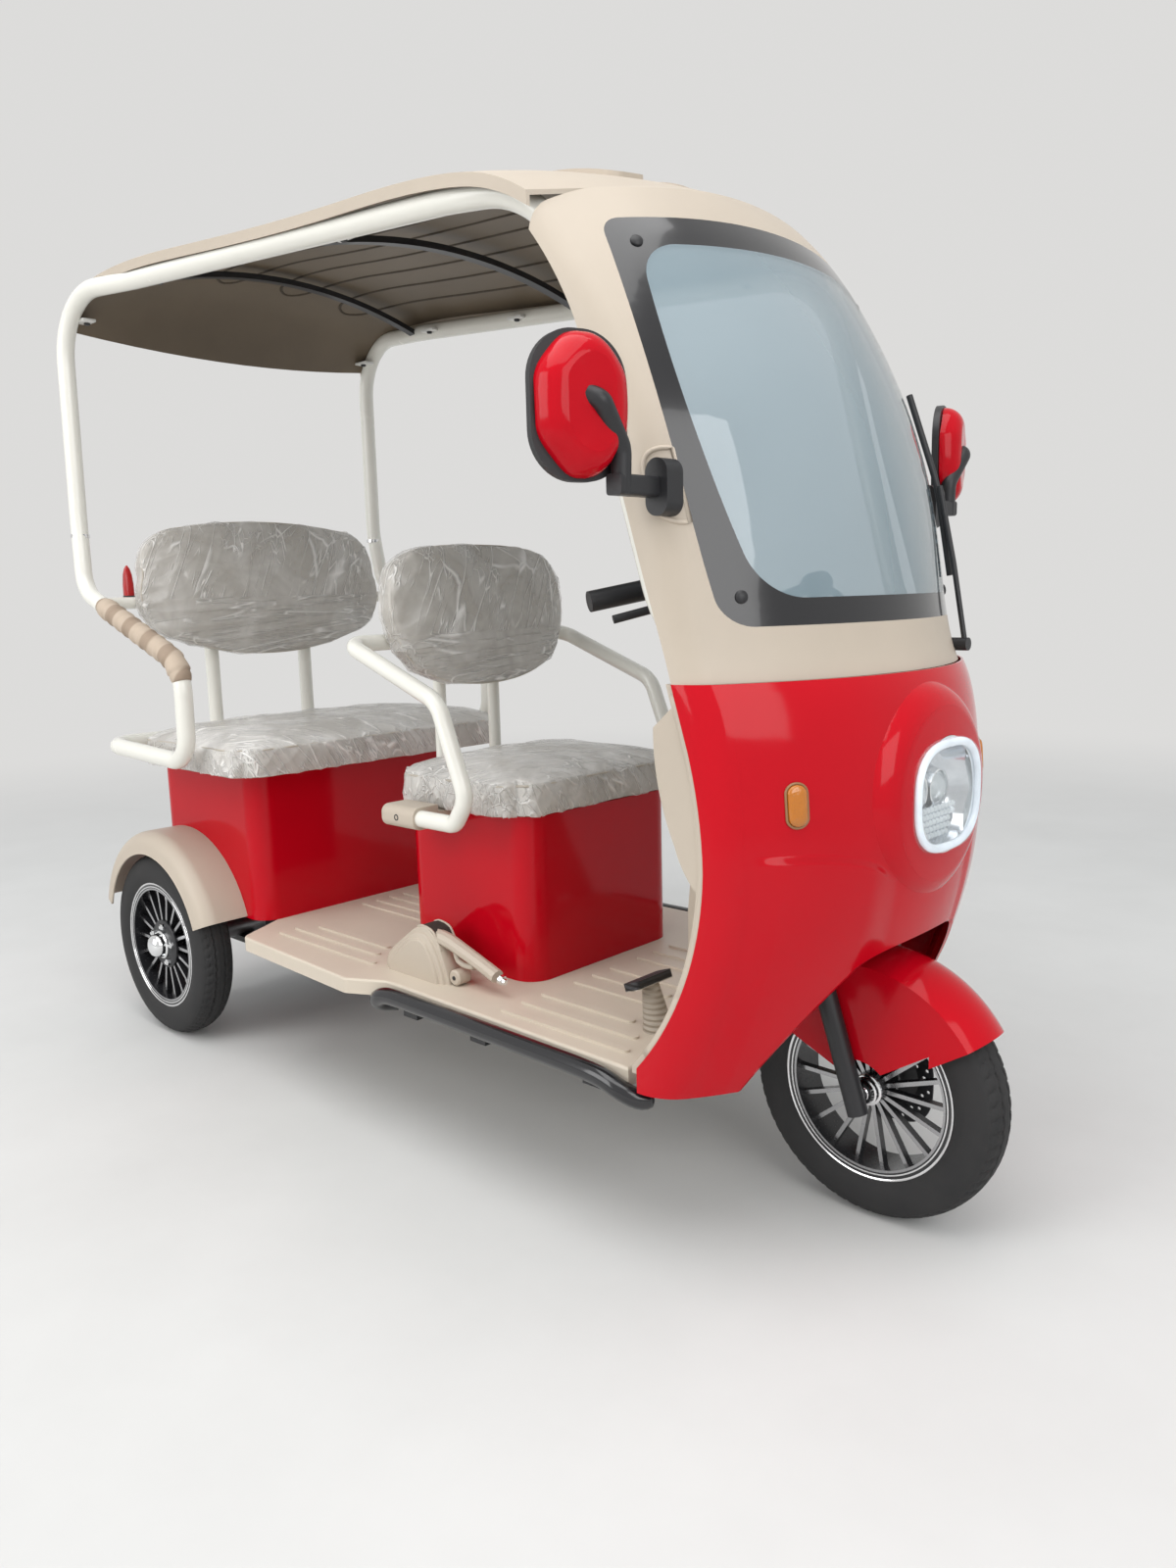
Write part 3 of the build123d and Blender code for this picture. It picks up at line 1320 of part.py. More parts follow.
# Front mudguard: a bowed arch with skirts, carried by the fork legs
with BuildPart() as front_mudguard:
    with BuildSketch(wheel_plane(front_axle_x, 0)):
        with BuildLine():
            ThreePointArc((-guard_half_width, guard_radius - 20), (0, guard_radius), (guard_half_width, guard_radius - 20))
            Line((guard_half_width, guard_radius - 20), (guard_half_width, 60))
            Line((guard_half_width, 60), (guard_half_width - guard_wall, 60))
            Line((guard_half_width - guard_wall, 60), (guard_half_width - guard_wall, guard_radius - 22))
            ThreePointArc(
                (guard_half_width - guard_wall, guard_radius - 22),
                (0, guard_radius - guard_wall),
                (guard_wall - guard_half_width, guard_radius - 22),
            )
            Line((guard_wall - guard_half_width, guard_radius - 22), (guard_wall - guard_half_width, 60))
            Line((guard_wall - guard_half_width, 60), (-guard_half_width, 60))
            Line((-guard_half_width, 60), (-guard_half_width, guard_radius - 20))
        make_face()
    revolve(axis=wheel_axis(front_axle_x, 0))
    with BuildSketch(Plane.XZ):
        Polygon(
            (front_axle_x - 400, 800),
            (front_axle_x + 400, 800),
            (front_axle_x + 400, wheel_radius + 262),
            (front_axle_x, wheel_radius),
            (front_axle_x - 400, wheel_radius + 231),
            align=None,
        )
    extrude(amount=200, both=True, mode=Mode.INTERSECT)
    with BuildSketch(Plane.XZ):
        Polygon(
            (726, guard_skirt_z + 40),
            (838, guard_skirt_z - 10),
            (906, guard_skirt_z + 4),
            (986, guard_skirt_z + 56),
            (986, 0),
            (726, 0),
            align=None,
        )
    extrude(amount=200, both=True, mode=Mode.SUBTRACT)
    for side in (-1, 1):
        leg_foot = axle_point - axis_up * 26 + Vector(0, side * leg_y, 0)
        with BuildSketch(Plane(origin=leg_foot, x_dir=axis_ahead, z_dir=axis_up)):
            Circle(leg_radius + 0.1)
        extrude(amount=crown_height + 26, mode=Mode.SUBTRACT)
front_mudguard.part.label = "front_mudguard"
export_step(front_mudguard.part, "parts/front_mudguard.step")
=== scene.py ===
import bmesh
import bpy
from math import cos, hypot, pi, radians, sin, sqrt
from mathutils import Matrix, Vector, noise
from mathutils.bvhtree import BVHTree


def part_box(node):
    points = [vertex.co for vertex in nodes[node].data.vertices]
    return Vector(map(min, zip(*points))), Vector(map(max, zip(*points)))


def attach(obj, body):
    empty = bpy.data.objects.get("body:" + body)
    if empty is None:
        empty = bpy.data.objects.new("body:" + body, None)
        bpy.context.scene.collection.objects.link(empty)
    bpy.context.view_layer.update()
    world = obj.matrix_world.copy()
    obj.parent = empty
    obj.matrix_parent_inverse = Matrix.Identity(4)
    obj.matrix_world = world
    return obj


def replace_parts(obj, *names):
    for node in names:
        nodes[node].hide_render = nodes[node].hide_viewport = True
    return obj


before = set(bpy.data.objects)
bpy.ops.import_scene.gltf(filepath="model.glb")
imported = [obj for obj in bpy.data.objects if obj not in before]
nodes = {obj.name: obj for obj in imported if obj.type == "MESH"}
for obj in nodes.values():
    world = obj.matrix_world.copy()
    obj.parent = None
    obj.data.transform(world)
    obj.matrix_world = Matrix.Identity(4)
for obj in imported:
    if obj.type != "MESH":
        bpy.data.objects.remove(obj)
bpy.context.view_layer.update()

SIDES = (("right", -1), ("left", 1))


# Shader nodes
def set_inputs(tree, target, inputs):
    """Sets a node's inputs, by name or number, to plain values or to outputs of other nodes."""
    for key, value in inputs.items():
        if isinstance(value, bpy.types.NodeSocket):
            tree.links.new(value, target.inputs[key])
        else:
            target.inputs[key].default_value = value


def node(tree, kind, inputs, **settings):
    made = tree.nodes.new(kind)
    for key, value in settings.items():
        setattr(made, key, value)
    set_inputs(tree, made, inputs)
    return made


def parts_of(mat):
    """A material's node tree and its main shader node."""
    return mat.node_tree, mat.node_tree.nodes["Principled BSDF"]


def shader(name, color, rough, metal=0.0, coat=0.0, coat_rough=0.05, spec=0.5):
    """A material with its node tree and main shader node, ready for detail."""
    mat = bpy.data.materials.new(name)
    mat.use_nodes = True
    tree, bsdf = parts_of(mat)
    set_inputs(tree, bsdf, {
        "Base Color": (*color, 1.0), "Roughness": rough, "Metallic": metal, "Coat Weight": coat,
        "Coat Roughness": coat_rough, "Specular IOR Level": spec, "IOR": 1.45,
    })
    return mat, tree, bsdf


def coords(tree):
    return node(tree, "ShaderNodeTexCoord", {}).outputs["Object"]


def noise_tex(tree, at, scale, detail, rough=0.6, distortion=0.0):
    inputs = {"Vector": at, "Scale": scale, "Detail": detail, "Roughness": rough, "Distortion": distortion}
    return node(tree, "ShaderNodeTexNoise", inputs).outputs["Fac"]


def ramp(tree, source, stops):
    """Colours at (place, colour) stops along a value."""
    made = node(tree, "ShaderNodeValToRGB", {"Fac": source})
    elements = made.color_ramp.elements
    for index, (place, color) in ((0, stops[0]), (1, stops[-1])):
        elements[index].position = place
        elements[index].color = (*color, 1.0)
    for place, color in stops[1:-1]:
        elements.new(place).color = (*color, 1.0)
    return made.outputs["Color"]


def scaled(color, factor):
    return tuple(min(1.0, c * factor) for c in color)


def tones(tree, source, color, low, high, edge=0.3):
    """One colour from its darker to its lighter tone, as a value rises."""
    return ramp(tree, source, ((edge, scaled(color, low)), (1 - edge, scaled(color, high))))


def spread(tree, source, low, high, start=0.0, end=1.0, kind="LINEAR"):
    """A value between start and end, mapped to one between low and high."""
    inputs = {"Value": source, "From Min": start, "From Max": end, "To Min": low, "To Max": high}
    return node(tree, "ShaderNodeMapRange", inputs, interpolation_type=kind).outputs["Result"]


def soft_step(tree, source, start, end):
    """0 at start, 1 at end and a soft change between them."""
    return spread(tree, source, 0.0, 1.0, start, end, "SMOOTHSTEP")


def bump(tree, bsdf, height, strength, distance):
    """A bump on top of the bumps that the material already has."""
    made = node(tree, "ShaderNodeBump", {"Height": height, "Strength": strength, "Distance": distance})
    below = bsdf.inputs["Normal"].links
    if below:
        tree.links.new(below[0].from_socket, made.inputs["Normal"])
    tree.links.new(made.outputs["Normal"], bsdf.inputs["Normal"])


def axis_of(tree, vector, axis):
    return node(tree, "ShaderNodeSeparateXYZ", {"Vector": vector}).outputs[axis]


def facing(tree, axis):
    """How far a face looks along an axis, from -1 to 1."""
    return axis_of(tree, node(tree, "ShaderNodeNewGeometry", {}).outputs["True Normal"], axis)


def maths(tree, kind, *values):
    return node(tree, "ShaderNodeMath", dict(enumerate(values)), operation=kind).outputs["Value"]


def mixed_color(tree, share, first, second):
    inputs = {"Factor": share, "A": first, "B": second}
    return node(tree, "ShaderNodeMix", inputs, data_type="RGBA").outputs["Result"]


# Kinds of surface
def painted(name, color, rough, coat, peel, vary=0.06, spec=0.5):
    """Paint or gloss plastic: slow changes of tone, a patchy sheen and faint orange peel."""
    mat, tree, bsdf = shader(name, color, rough, coat=coat, spec=spec)
    at = coords(tree)
    wide = noise_tex(tree, at, 2.2, 4.0)
    fine = noise_tex(tree, at, 9.0, 6.0, 0.65)
    set_inputs(tree, bsdf, {
        "Base Color": tones(tree, wide, color, 1 - vary, 1 + vary),
        "Roughness": spread(tree, fine, rough * 0.75, rough * 1.35),
    })
    bump(tree, bsdf, noise_tex(tree, at, 260.0, 2.0, 0.5), peel, 0.0006)
    return mat


def moulded(name, color, rough, grain, vary=0.05, grain_scale=900.0):
    """Moulded plastic: fine grain, faint streaks and a patchy sheen."""
    mat, tree, bsdf = shader(name, color, rough)
    at = coords(tree)
    wide = noise_tex(tree, at, 3.0, 5.0)
    patch = noise_tex(tree, at, 14.0, 4.0)
    set_inputs(tree, bsdf, {
        "Base Color": tones(tree, wide, color, 1 - vary, 1 + vary, 0.28),
        "Roughness": spread(tree, patch, rough - 0.07, rough + 0.08),
    })
    bump(tree, bsdf, noise_tex(tree, at, grain_scale, 3.0), grain, 0.0004)
    return mat


def metal_mat(name, color, rough, vary=0.1, brushed=0.1, stretch=(1, 1, 1)):
    """Bare metal with fine brushing, drawn out along the axes by stretch."""
    mat, tree, bsdf = shader(name, color, rough, metal=1.0)
    at = coords(tree)
    mapped = node(tree, "ShaderNodeMapping", {"Vector": at, "Scale": stretch}).outputs["Vector"]
    wide = noise_tex(tree, at, 18.0, 5.0)
    fine = noise_tex(tree, mapped, 240.0, 3.0)
    set_inputs(tree, bsdf, {
        "Base Color": tones(tree, wide, color, 1 - vary, 1 + vary),
        "Roughness": spread(tree, fine, rough * 0.8, rough * 1.3),
    })
    bump(tree, bsdf, fine, brushed, 0.0003)
    return mat


def lamp_material(name, color, rough=0.08, alpha=1.0, stripes=0.0):
    """Clear or coloured lamp plastic under a gloss coat, with small cells where it has stripes."""
    mat, tree, bsdf = shader(name, color, rough, coat=0.8, coat_rough=0.03)
    at = coords(tree)
    wide = noise_tex(tree, at, 24.0, 3.0, 0.5)
    set_inputs(tree, bsdf, {"Alpha": alpha, "Base Color": tones(tree, wide, color, 0.9, 1.12)})
    cells = node(tree, "ShaderNodeTexVoronoi", {"Vector": at, "Scale": 220.0})
    bump(tree, bsdf, cells.outputs["Distance"], stripes, 0.001)
    return mat


RED = (0.50, 0.002, 0.010)
RED_GLOSS = {"rough": 0.09, "coat": 0.0, "peel": 0.02, "vary": 0.05}
BEIGE = (0.50, 0.43, 0.35)
# A lighter copy of the shell beige for the floor pan: painted light on a floor that the roof shades.
FLOOR_BEIGE_LIT = (0.60, 0.525, 0.43)
# Darker beige for the roof's underside: partly its bare moulding, partly painted shade.
UNDERSIDE_BEIGE_AND_SHADE = (0.15, 0.115, 0.078)
CREAM = (0.78, 0.765, 0.70)
TAUPE = (0.36, 0.325, 0.275)
NEAR_BLACK = (0.018, 0.018, 0.02)

mat_red = painted("panel_red", RED, spec=0.22, **RED_GLOSS)
# The floor pan's lighter beige is painted light.
mat_floor_pan_lit = moulded("floor_beige_painted_light", FLOOR_BEIGE_LIT, rough=0.42, grain=0.2)
mat_beige = moulded("shell_beige", BEIGE, rough=0.46, grain=0.18)
mat_cream = painted("tube_white", CREAM, rough=0.24, coat=0.4, peel=0.05, vary=0.03)
mat_frame = painted("frame_black", NEAR_BLACK, rough=0.38, coat=0.15, peel=0.12)
mat_border = painted("border_black", (0.012, 0.012, 0.014), rough=0.16, coat=0.5, peel=0.03)
mat_black = moulded("plastic_black", (0.022, 0.022, 0.024), rough=0.42, grain=0.3)
mat_steel = metal_mat("axle_steel", (0.36, 0.36, 0.37), rough=0.38)
mat_motor = metal_mat("motor_alloy", (0.13, 0.13, 0.135), rough=0.5, brushed=0.3)
mat_chrome = metal_mat("chrome", (0.86, 0.87, 0.88), rough=0.06, vary=0.02, brushed=0.02)


def roof_material():
    """Beige above; the underside is darker, partly as the bare face of the moulding and partly as painted
    shade.
    """
    mat, tree, bsdf = shader("roof_beige", BEIGE, 0.5)
    at = coords(tree)
    wide = noise_tex(tree, at, 2.6, 5.0)
    top = tones(tree, wide, BEIGE, 0.95, 1.05)
    # Faces that look down get the darker beige: partly bare moulding, partly painted shade under the roof.
    under = tones(tree, wide, UNDERSIDE_BEIGE_AND_SHADE, 0.85, 1.1)
    looks_up = spread(tree, facing(tree, "Z"), 0.0, 1.0, -0.35, -0.15)
    set_inputs(tree, bsdf, {"Base Color": mixed_color(tree, looks_up, under, top)})
    bump(tree, bsdf, noise_tex(tree, at, 900.0, 3.0), 0.2, 0.0004)
    return mat


def glass_material():
    """Thin window glass, part clear, with a gloss coat and a little dust; its pale blue-grey colour is partly
    a tint and partly a painted reflection of the sky.
    """
    mat, tree, bsdf = shader("window_glass", (0.28, 0.37, 0.42), 0.02, coat=1.0, coat_rough=0.01)
    at = coords(tree)
    wide = noise_tex(tree, at, 1.6, 3.0, 0.5)
    dust = noise_tex(tree, at, 30.0, 5.0, 0.7)
    # The part that is not clear is pale blue-grey: partly tint, partly a painted sky reflection.
    set_inputs(tree, bsdf, {
        "Alpha": 0.6,
        "Base Color": ramp(tree, wide, ((0.3, (0.25, 0.34, 0.385)), (0.7, (0.32, 0.41, 0.455)))),
        "Roughness": spread(tree, dust, 0.015, 0.06),
    })
    return mat


def tyre_material():
    """Black rubber with greyer, dusty patches."""
    mat, tree, bsdf = shader("tyre_black", (0.02, 0.02, 0.021), 0.72)
    at = coords(tree)
    wide = noise_tex(tree, at, 11.0, 6.0, 0.7)
    stops = ((0.3, (0.016, 0.016, 0.017)), (0.62, (0.026, 0.025, 0.025)), (0.8, (0.05, 0.045, 0.04)))
    color, rough = ramp(tree, wide, stops), spread(tree, wide, 0.6, 0.85)
    set_inputs(tree, bsdf, {"Base Color": color, "Roughness": rough})
    bump(tree, bsdf, noise_tex(tree, at, 420.0, 4.0), 0.3, 0.0006)
    return mat


def rim_material():
    """Cast wheel: black paint, with bright machined faces that look outwards."""
    mat, tree, bsdf = shader("wheel_alloy", (0.6, 0.6, 0.61), 0.25)
    outward = spread(tree, maths(tree, "ABSOLUTE", facing(tree, "Y")), 0.0, 1.0, 0.86, 0.93)
    fine = noise_tex(tree, coords(tree), 180.0, 4.0)
    set_inputs(tree, bsdf, {
        "Base Color": mixed_color(tree, outward, (*NEAR_BLACK, 1), (0.42, 0.42, 0.43, 1)),
        "Metallic": outward,
        "Roughness": spread(tree, fine, 0.16, 0.34),
    })
    bump(tree, bsdf, fine, 0.06, 0.0003)
    return mat


def pedal_material():
    """Ribbed beige boot with a dark rubber pad on top, split by the pad's lower face."""
    mat = moulded("pedal_boot", scaled(BEIGE, 0.8), rough=0.55, grain=0.3)
    tree, bsdf = parts_of(mat)
    at = coords(tree)
    x, z = axis_of(tree, at, "X"), axis_of(tree, at, "Z")
    slope_x, slope_z = 0.33, 0.944
    x_on_face, z_on_face = 0.568, 0.3855
    above = maths(tree, "MULTIPLY_ADD", z, slope_z, slope_x * x_on_face - slope_z * z_on_face)
    rise = maths(tree, "MULTIPLY_ADD", x, -slope_x, above)
    pad = maths(tree, "GREATER_THAN", rise, 0.0)
    beige = bsdf.inputs["Base Color"].links[0].from_socket
    rubber = (0.025, 0.024, 0.026, 1)
    set_inputs(tree, bsdf, {"Base Color": mixed_color(tree, pad, beige, rubber)})
    grain = bsdf.inputs["Normal"].links[0].from_node.inputs["Height"].links[0].from_socket
    tree.links.remove(bsdf.inputs["Normal"].links[0])
    ribs = maths(tree, "SINE", maths(tree, "MULTIPLY", z, 700.0))
    bump(tree, bsdf, ribs, 0.9, 0.0016)
    bump(tree, bsdf, grain, 0.15, 0.0016)
    return mat


def nose_material():
    """Gloss red with the pressed step that runs in from each side towards the headlight."""
    mat = painted("nose_red", RED, spec=0.26, **RED_GLOSS)
    tree, bsdf = parts_of(mat)
    at = coords(tree)
    wide = maths(tree, "ABSOLUTE", axis_of(tree, at, "Y"))
    curve_width = 0.4
    curve = node(tree, "ShaderNodeFloatCurve", {"Value": maths(tree, "MULTIPLY", wide, 1 / curve_width)})
    line = curve.mapping.curves[0]
    line.points[0].location = (0.0, 0.60)
    line.points[1].location = (1.0, 0.66)
    for share, height in ((0.30, 0.605), (0.39, 0.625), (0.51, 0.641), (0.64, 0.650), (0.75, 0.653)):
        line.points.new(share, height)
    curve.mapping.update()
    under = maths(tree, "SUBTRACT", curve.outputs["Value"], axis_of(tree, at, "Z"))
    step = soft_step(tree, under, -0.010, 0.006)
    fade_in = soft_step(tree, wide, 0.105, 0.165)
    fade_out = soft_step(tree, wide, 0.345, 0.300)
    height = maths(tree, "MULTIPLY", step, maths(tree, "MULTIPLY", fade_in, fade_out))
    bump(tree, bsdf, height, 0.75, 0.010)
    return mat


mat_roof = roof_material()
mat_glass = glass_material()
mat_tyre = tyre_material()
mat_rim = rim_material()
mat_amber = lamp_material("lamp_amber", (0.46, 0.145, 0.006), stripes=0.5)
mat_lamp_red = lamp_material("lamp_red", (0.45, 0.006, 0.008), stripes=0.3)
mat_lens = lamp_material("lamp_clear", (0.86, 0.9, 0.93), rough=0.03, alpha=0.16)
mat_mirror = metal_mat("mirror_silver", (0.9, 0.9, 0.92), rough=0.02, vary=0.01, brushed=0.0)
mat_leather = moulded("seat_cover", TAUPE, rough=0.42, grain=0.5, vary=0.06, grain_scale=520.0)

NODE_MATERIALS = (
    (mat_frame, "chassis_frame roof_bows rear_springs fork"),
    (mat_floor_pan_lit, "floor_pan"),
    (mat_border, "side_bars windshield_border"),
    (mat_red, "driver_box rear_box mirror_shells front_mudguard"),
    (nose_material(), "cowl_lower"),
    (mat_leather, "driver_cushion driver_back rear_cushion rear_back"),
    (mat_cream, "driver_rails side_frame_right side_frame_left rear_back_frame"),
    (mat_beige, "rail_covers cowl_upper leg_shield dashboard rear_fenders parking_brake"),
    (mat_roof, "roof_panel"),
    (mat_glass, "windshield_glass"),
    (mat_black, "wiper mirror_arms handlebar"),
    (mat_chrome, "headlight_body"),
    (mat_lens, "headlight_lens"),
    (mat_amber, "front_signals"),
    (mat_mirror, "mirror_glasses"),
    (mat_steel, "rear_axle"),
    (mat_motor, "drive_motor"),
    (pedal_material(), "brake_pedal"),
    (mat_lamp_red, "tail_lamps"),
    (mat_rim, "front_rim rear_right_rim rear_left_rim"),
    (mat_tyre, "front_tyre rear_right_tyre rear_left_tyre"),
)
for mat, names in NODE_MATERIALS:
    for name in names.split():
        for slot in nodes[name].material_slots:
            slot.material = mat


# Making pieces
def add_piece(name, mesh, mat, slot, angle=0, body="body"):
    """A smooth piece that rides on a body; edges sharper than the angle stay crisp."""
    made = bpy.data.objects.new(name, mesh)
    bpy.context.scene.collection.objects.link(made)
    mesh.materials.clear()
    mesh.materials.append(mat)
    mesh.polygons.foreach_set("use_smooth", [True] * len(mesh.polygons))
    if angle:
        mesh.set_sharp_from_angle(angle=radians(angle))
    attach(made, body)
    return made


def mesh_from(name, points, faces):
    """A mesh with doubled points joined and its faces turned outwards."""
    mesh = bpy.data.meshes.new(name)
    mesh.from_pydata([tuple(p) for p in points], [], faces)
    tidy = bmesh.new()
    tidy.from_mesh(mesh)
    bmesh.ops.remove_doubles(tidy, verts=tidy.verts, dist=1e-6)
    bmesh.ops.recalc_face_normals(tidy, faces=tidy.faces)
    tidy.to_mesh(mesh)
    tidy.free()
    return mesh


def angles(count):
    return [2 * pi * step / count for step in range(count)]


def grid_faces(rings, count, wrap_rings=False, wrap_points=True):
    """Four-sided faces between rings of points that follow each other."""
    faces = []
    for ring in range(rings if wrap_rings else rings - 1):
        here, there = ring * count, (ring + 1) % rings * count
        for low in range(count if wrap_points else count - 1):
            high = (low + 1) % count
            faces.append((here + low, here + high, there + high, there + low))
    return faces


def lofted(name, rings, start_cap=False, end_cap=False):
    """Mesh through closed rings of points, with flat ends where asked."""
    count = len(rings[0])
    faces = grid_faces(len(rings), count)
    if start_cap:
        faces.append(tuple(range(count)))
    if end_cap:
        faces.append(tuple(range((len(rings) - 1) * count, len(rings) * count)))
    return mesh_from(name, [point for ring in rings for point in ring], faces)


def frame_of(axis):
    """An axis and two directions square to it."""
    axis = Vector(axis).normalized()
    side = axis.cross(Vector((0, 0, 1)))
    if side.length < 1e-3:
        side = Vector((1, 0, 0))
    side.normalize()
    return axis, side, axis.cross(side)


def add_turned(name, profile, place, axis, sides, mat, slot, angle=30, body="body", closed=False):
    """A piece turned round an axis from a profile of (along, radius) pairs."""
    axis, side, up = frame_of(axis)
    place = Vector(place)
    points = []
    for turn in angles(sides):
        out = side * cos(turn) + up * sin(turn)
        points += [place + axis * along + out * radius for along, radius in profile]
    mesh = mesh_from(name, points, grid_faces(sides, len(profile), True, closed))
    return add_piece(name, mesh, mat, slot, angle, body)


def smooth_path(points, step):
    """Catmull-Rom points about one step apart along a few given points."""
    points = [Vector(p) for p in points]
    made = []
    for index in range(len(points) - 1):
        a = points[max(index - 1, 0)]
        b, c = points[index], points[index + 1]
        d = points[min(index + 2, len(points) - 1)]
        parts = max(1, int((c - b).length / step))
        for part in range(parts):
            t = part / parts
            square = (2 * a - 5 * b + 4 * c - d) * t * t
            made.append(0.5 * ((2 * b) + (c - a) * t + square + (3 * b - a - 3 * c + d) * t ** 3))
    made.append(points[-1])
    return made


def add_tube(name, path, radius, sides, mat, slot, angle=0, closed=False, flat=1.0, up_hint=None):
    """A round or flattened tube along a path; radius is a number or a list of them."""
    count = len(path)
    sizes = radius if isinstance(radius, list) else [radius] * count
    rings = []
    normal = None
    for index, at in enumerate(path):
        ahead = path[(index + 1) % count] if closed or index + 1 < count else at
        behind = path[index - 1] if closed or index > 0 else at
        along = (ahead - behind).normalized()
        if up_hint is not None:
            normal = Vector(up_hint) - along * along.dot(Vector(up_hint))
        elif normal is None:
            normal = along.orthogonal()
        else:
            normal = normal - along * along.dot(normal)
        normal = normal.normalized()
        other = along.cross(normal)
        wide, tall = other * sizes[index], normal * sizes[index] * flat
        rings.append([at + tall * cos(turn) + wide * sin(turn) for turn in angles(sides)])
    if closed:
        points = [point for ring in rings for point in ring]
        mesh = mesh_from(name, points, grid_faces(count, sides, True))
    else:
        mesh = lofted(name, rings, True, True)
    return add_piece(name, mesh, mat, slot, angle)


def tree_of(mesh):
    points = [v.co.copy() for v in mesh.vertices]
    return BVHTree.FromPolygons(points, [tuple(face.vertices) for face in mesh.polygons])


def first_hit(skin, start, toward, reach=10.0):
    """Where a ray meets a surface, with the surface's normal turned to face the ray, or two Nones."""
    toward = Vector(toward)
    point, normal, _, _ = skin.ray_cast(Vector(start), toward, reach)
    if point is not None and normal.dot(toward) > 0:
        normal = -normal
    return point, normal


def power_length(u, v, power):
    """Length of (u, v) where the unit circle is a rounded square of that power."""
    return (u ** power + v ** power) ** (1 / power)


def bent(value, power):
    """A sine or cosine raised to a power with its sign kept, which squares a circle."""
    return abs(value) ** power * (1 if value >= 0 else -1)


def long_ring(radius, straight, count):
    """(across, up) points of a ring with straight sides between its round ends."""
    for turn in angles(count):
        yield radius * cos(turn), radius * sin(turn) + (straight if sin(turn) >= 0 else -straight)


# Soft seats
PUFF_FRAMES = 20
BACK_THICK = 0.072
CUSHION_SEAM_DROP = 0.030
BACK_SEAM_DEPTH = 0.010
SEAM_HALF = 0.004


def baked(obj):
    """Turns an object's modifiers into its mesh."""
    mesh = bpy.data.meshes.new_from_object(obj.evaluated_get(bpy.context.evaluated_depsgraph_get()))
    obj.modifiers.clear()
    obj.data = mesh


def eased(obj, steps):
    soften = obj.modifiers.new("soften", "SMOOTH")
    soften.factor = 0.5
    soften.iterations = steps
    baked(obj)


def pad_start(name, source, voxel, place, smooth_steps):
    """A remeshed copy of a CAD pad, moved point by point and softened at its edges."""
    pad = bpy.data.objects.new(name, nodes[source].data.copy())
    bpy.context.scene.collection.objects.link(pad)
    even = pad.modifiers.new("even", "REMESH")
    even.mode = "VOXEL"
    even.voxel_size = voxel
    baked(pad)
    for point in pad.data.vertices:
        point.co = place(point.co)
    eased(pad, smooth_steps)
    return pad


def cushion_place(lo, hi, corner, inset, crown, pull):
    """Round plan corners, sides that pull in between them, and a crowned top."""
    middle = (lo + hi) / 2
    half_x, half_y = (hi.x - lo.x) / 2 - inset, (hi.y - lo.y) / 2 - inset
    edge_power, sink = 2.6, 0.003

    def place(p):
        x = (p.x - middle.x) * half_x / (half_x + inset)
        y = (p.y - middle.y) * half_y / (half_y + inset)
        over_x, over_y = abs(x) - (half_x - corner), abs(y) - (half_y - corner)
        if over_x > 0 and over_y > 0:
            share = max(over_x, over_y) / hypot(over_x, over_y)
            x = (half_x - corner + over_x * share) * (1 if x > 0 else -1)
            y = (half_y - corner + over_y * share) * (1 if y > 0 else -1)
        u, v = x / half_x, y / half_y
        x -= pull * u ** 3 * (1 - v * v)
        y -= pull * v ** 3 * (1 - u * u)
        rise = (p.z - lo.z) / (hi.z - lo.z)
        edge = 1 - (1 - min(1, abs(u)) ** edge_power) * (1 - min(1, abs(v)) ** edge_power)
        return Vector((middle.x + x, middle.y + y, p.z - rise * (crown * edge + sink)))

    return place


def back_place(at, half, low, high, crown=0.017, square=2.3):
    """A back pad with a crowned front, thinner towards its edge and squarer at its corners."""
    center, out, up = at
    cad_square, edge_power, rear_share = 2.3, 2.2, -0.4
    narrower, lower = 0.985, 0.975

    def place(p):
        local = p - center
        depth, width, height = local.dot(out), local.y, local.dot(up)
        u = min(1.0, abs(width) / half)
        v = min(1.0, abs(height) / (high if height > 0 else low))
        edge = max(u, v) ** edge_power
        if u + v > 0.001:
            grow = power_length(u, v, cad_square) / power_length(u, v, square)
            width, height = width * grow, height * grow
        share = (depth + BACK_THICK / 2) / BACK_THICK
        depth -= share * crown * edge + (1 - share) * rear_share * crown * edge
        return center + out * depth + Vector((0, width * narrower, 0)) + up * (height * lower)

    return place


def cushion_held(lo, hi):
    """Holds a cushion's underside and the seam round its sides."""
    seam = hi.z - CUSHION_SEAM_DROP

    def held(p, normal):
        on_seam = abs(p.z - seam) < SEAM_HALF and abs(normal.z) < 0.75
        return p.z < lo.z + 0.006 or on_seam

    return held


def back_held(at):
    """Holds a back pad's rear face and the seam round its edge."""
    center, out, up = at

    def held(p, normal):
        depth = (p - center).dot(out)
        return depth < -0.024 or (abs(depth - BACK_SEAM_DEPTH) < SEAM_HALF and abs(normal.dot(out)) < 0.7)

    return held


def puff(pad, held, pressure=4.0):
    """Pins some points of a pad and sets the rest to be blown up a little as cloth."""
    group = pad.vertex_groups.new(name="held")
    group.add([v.index for v in pad.data.vertices if held(v.co, v.normal)], 1.0, "REPLACE")
    cloth = pad.modifiers.new("puff", "CLOTH")
    cloth.settings.use_pressure = True
    cloth.settings.uniform_pressure_force = pressure
    cloth.settings.effector_weights.gravity = 0.0
    cloth.settings.vertex_group_mass = "held"
    cloth.settings.quality = 5
    cloth.collision_settings.use_collision = False
    cloth.point_cache.frame_start = 1
    cloth.point_cache.frame_end = PUFF_FRAMES


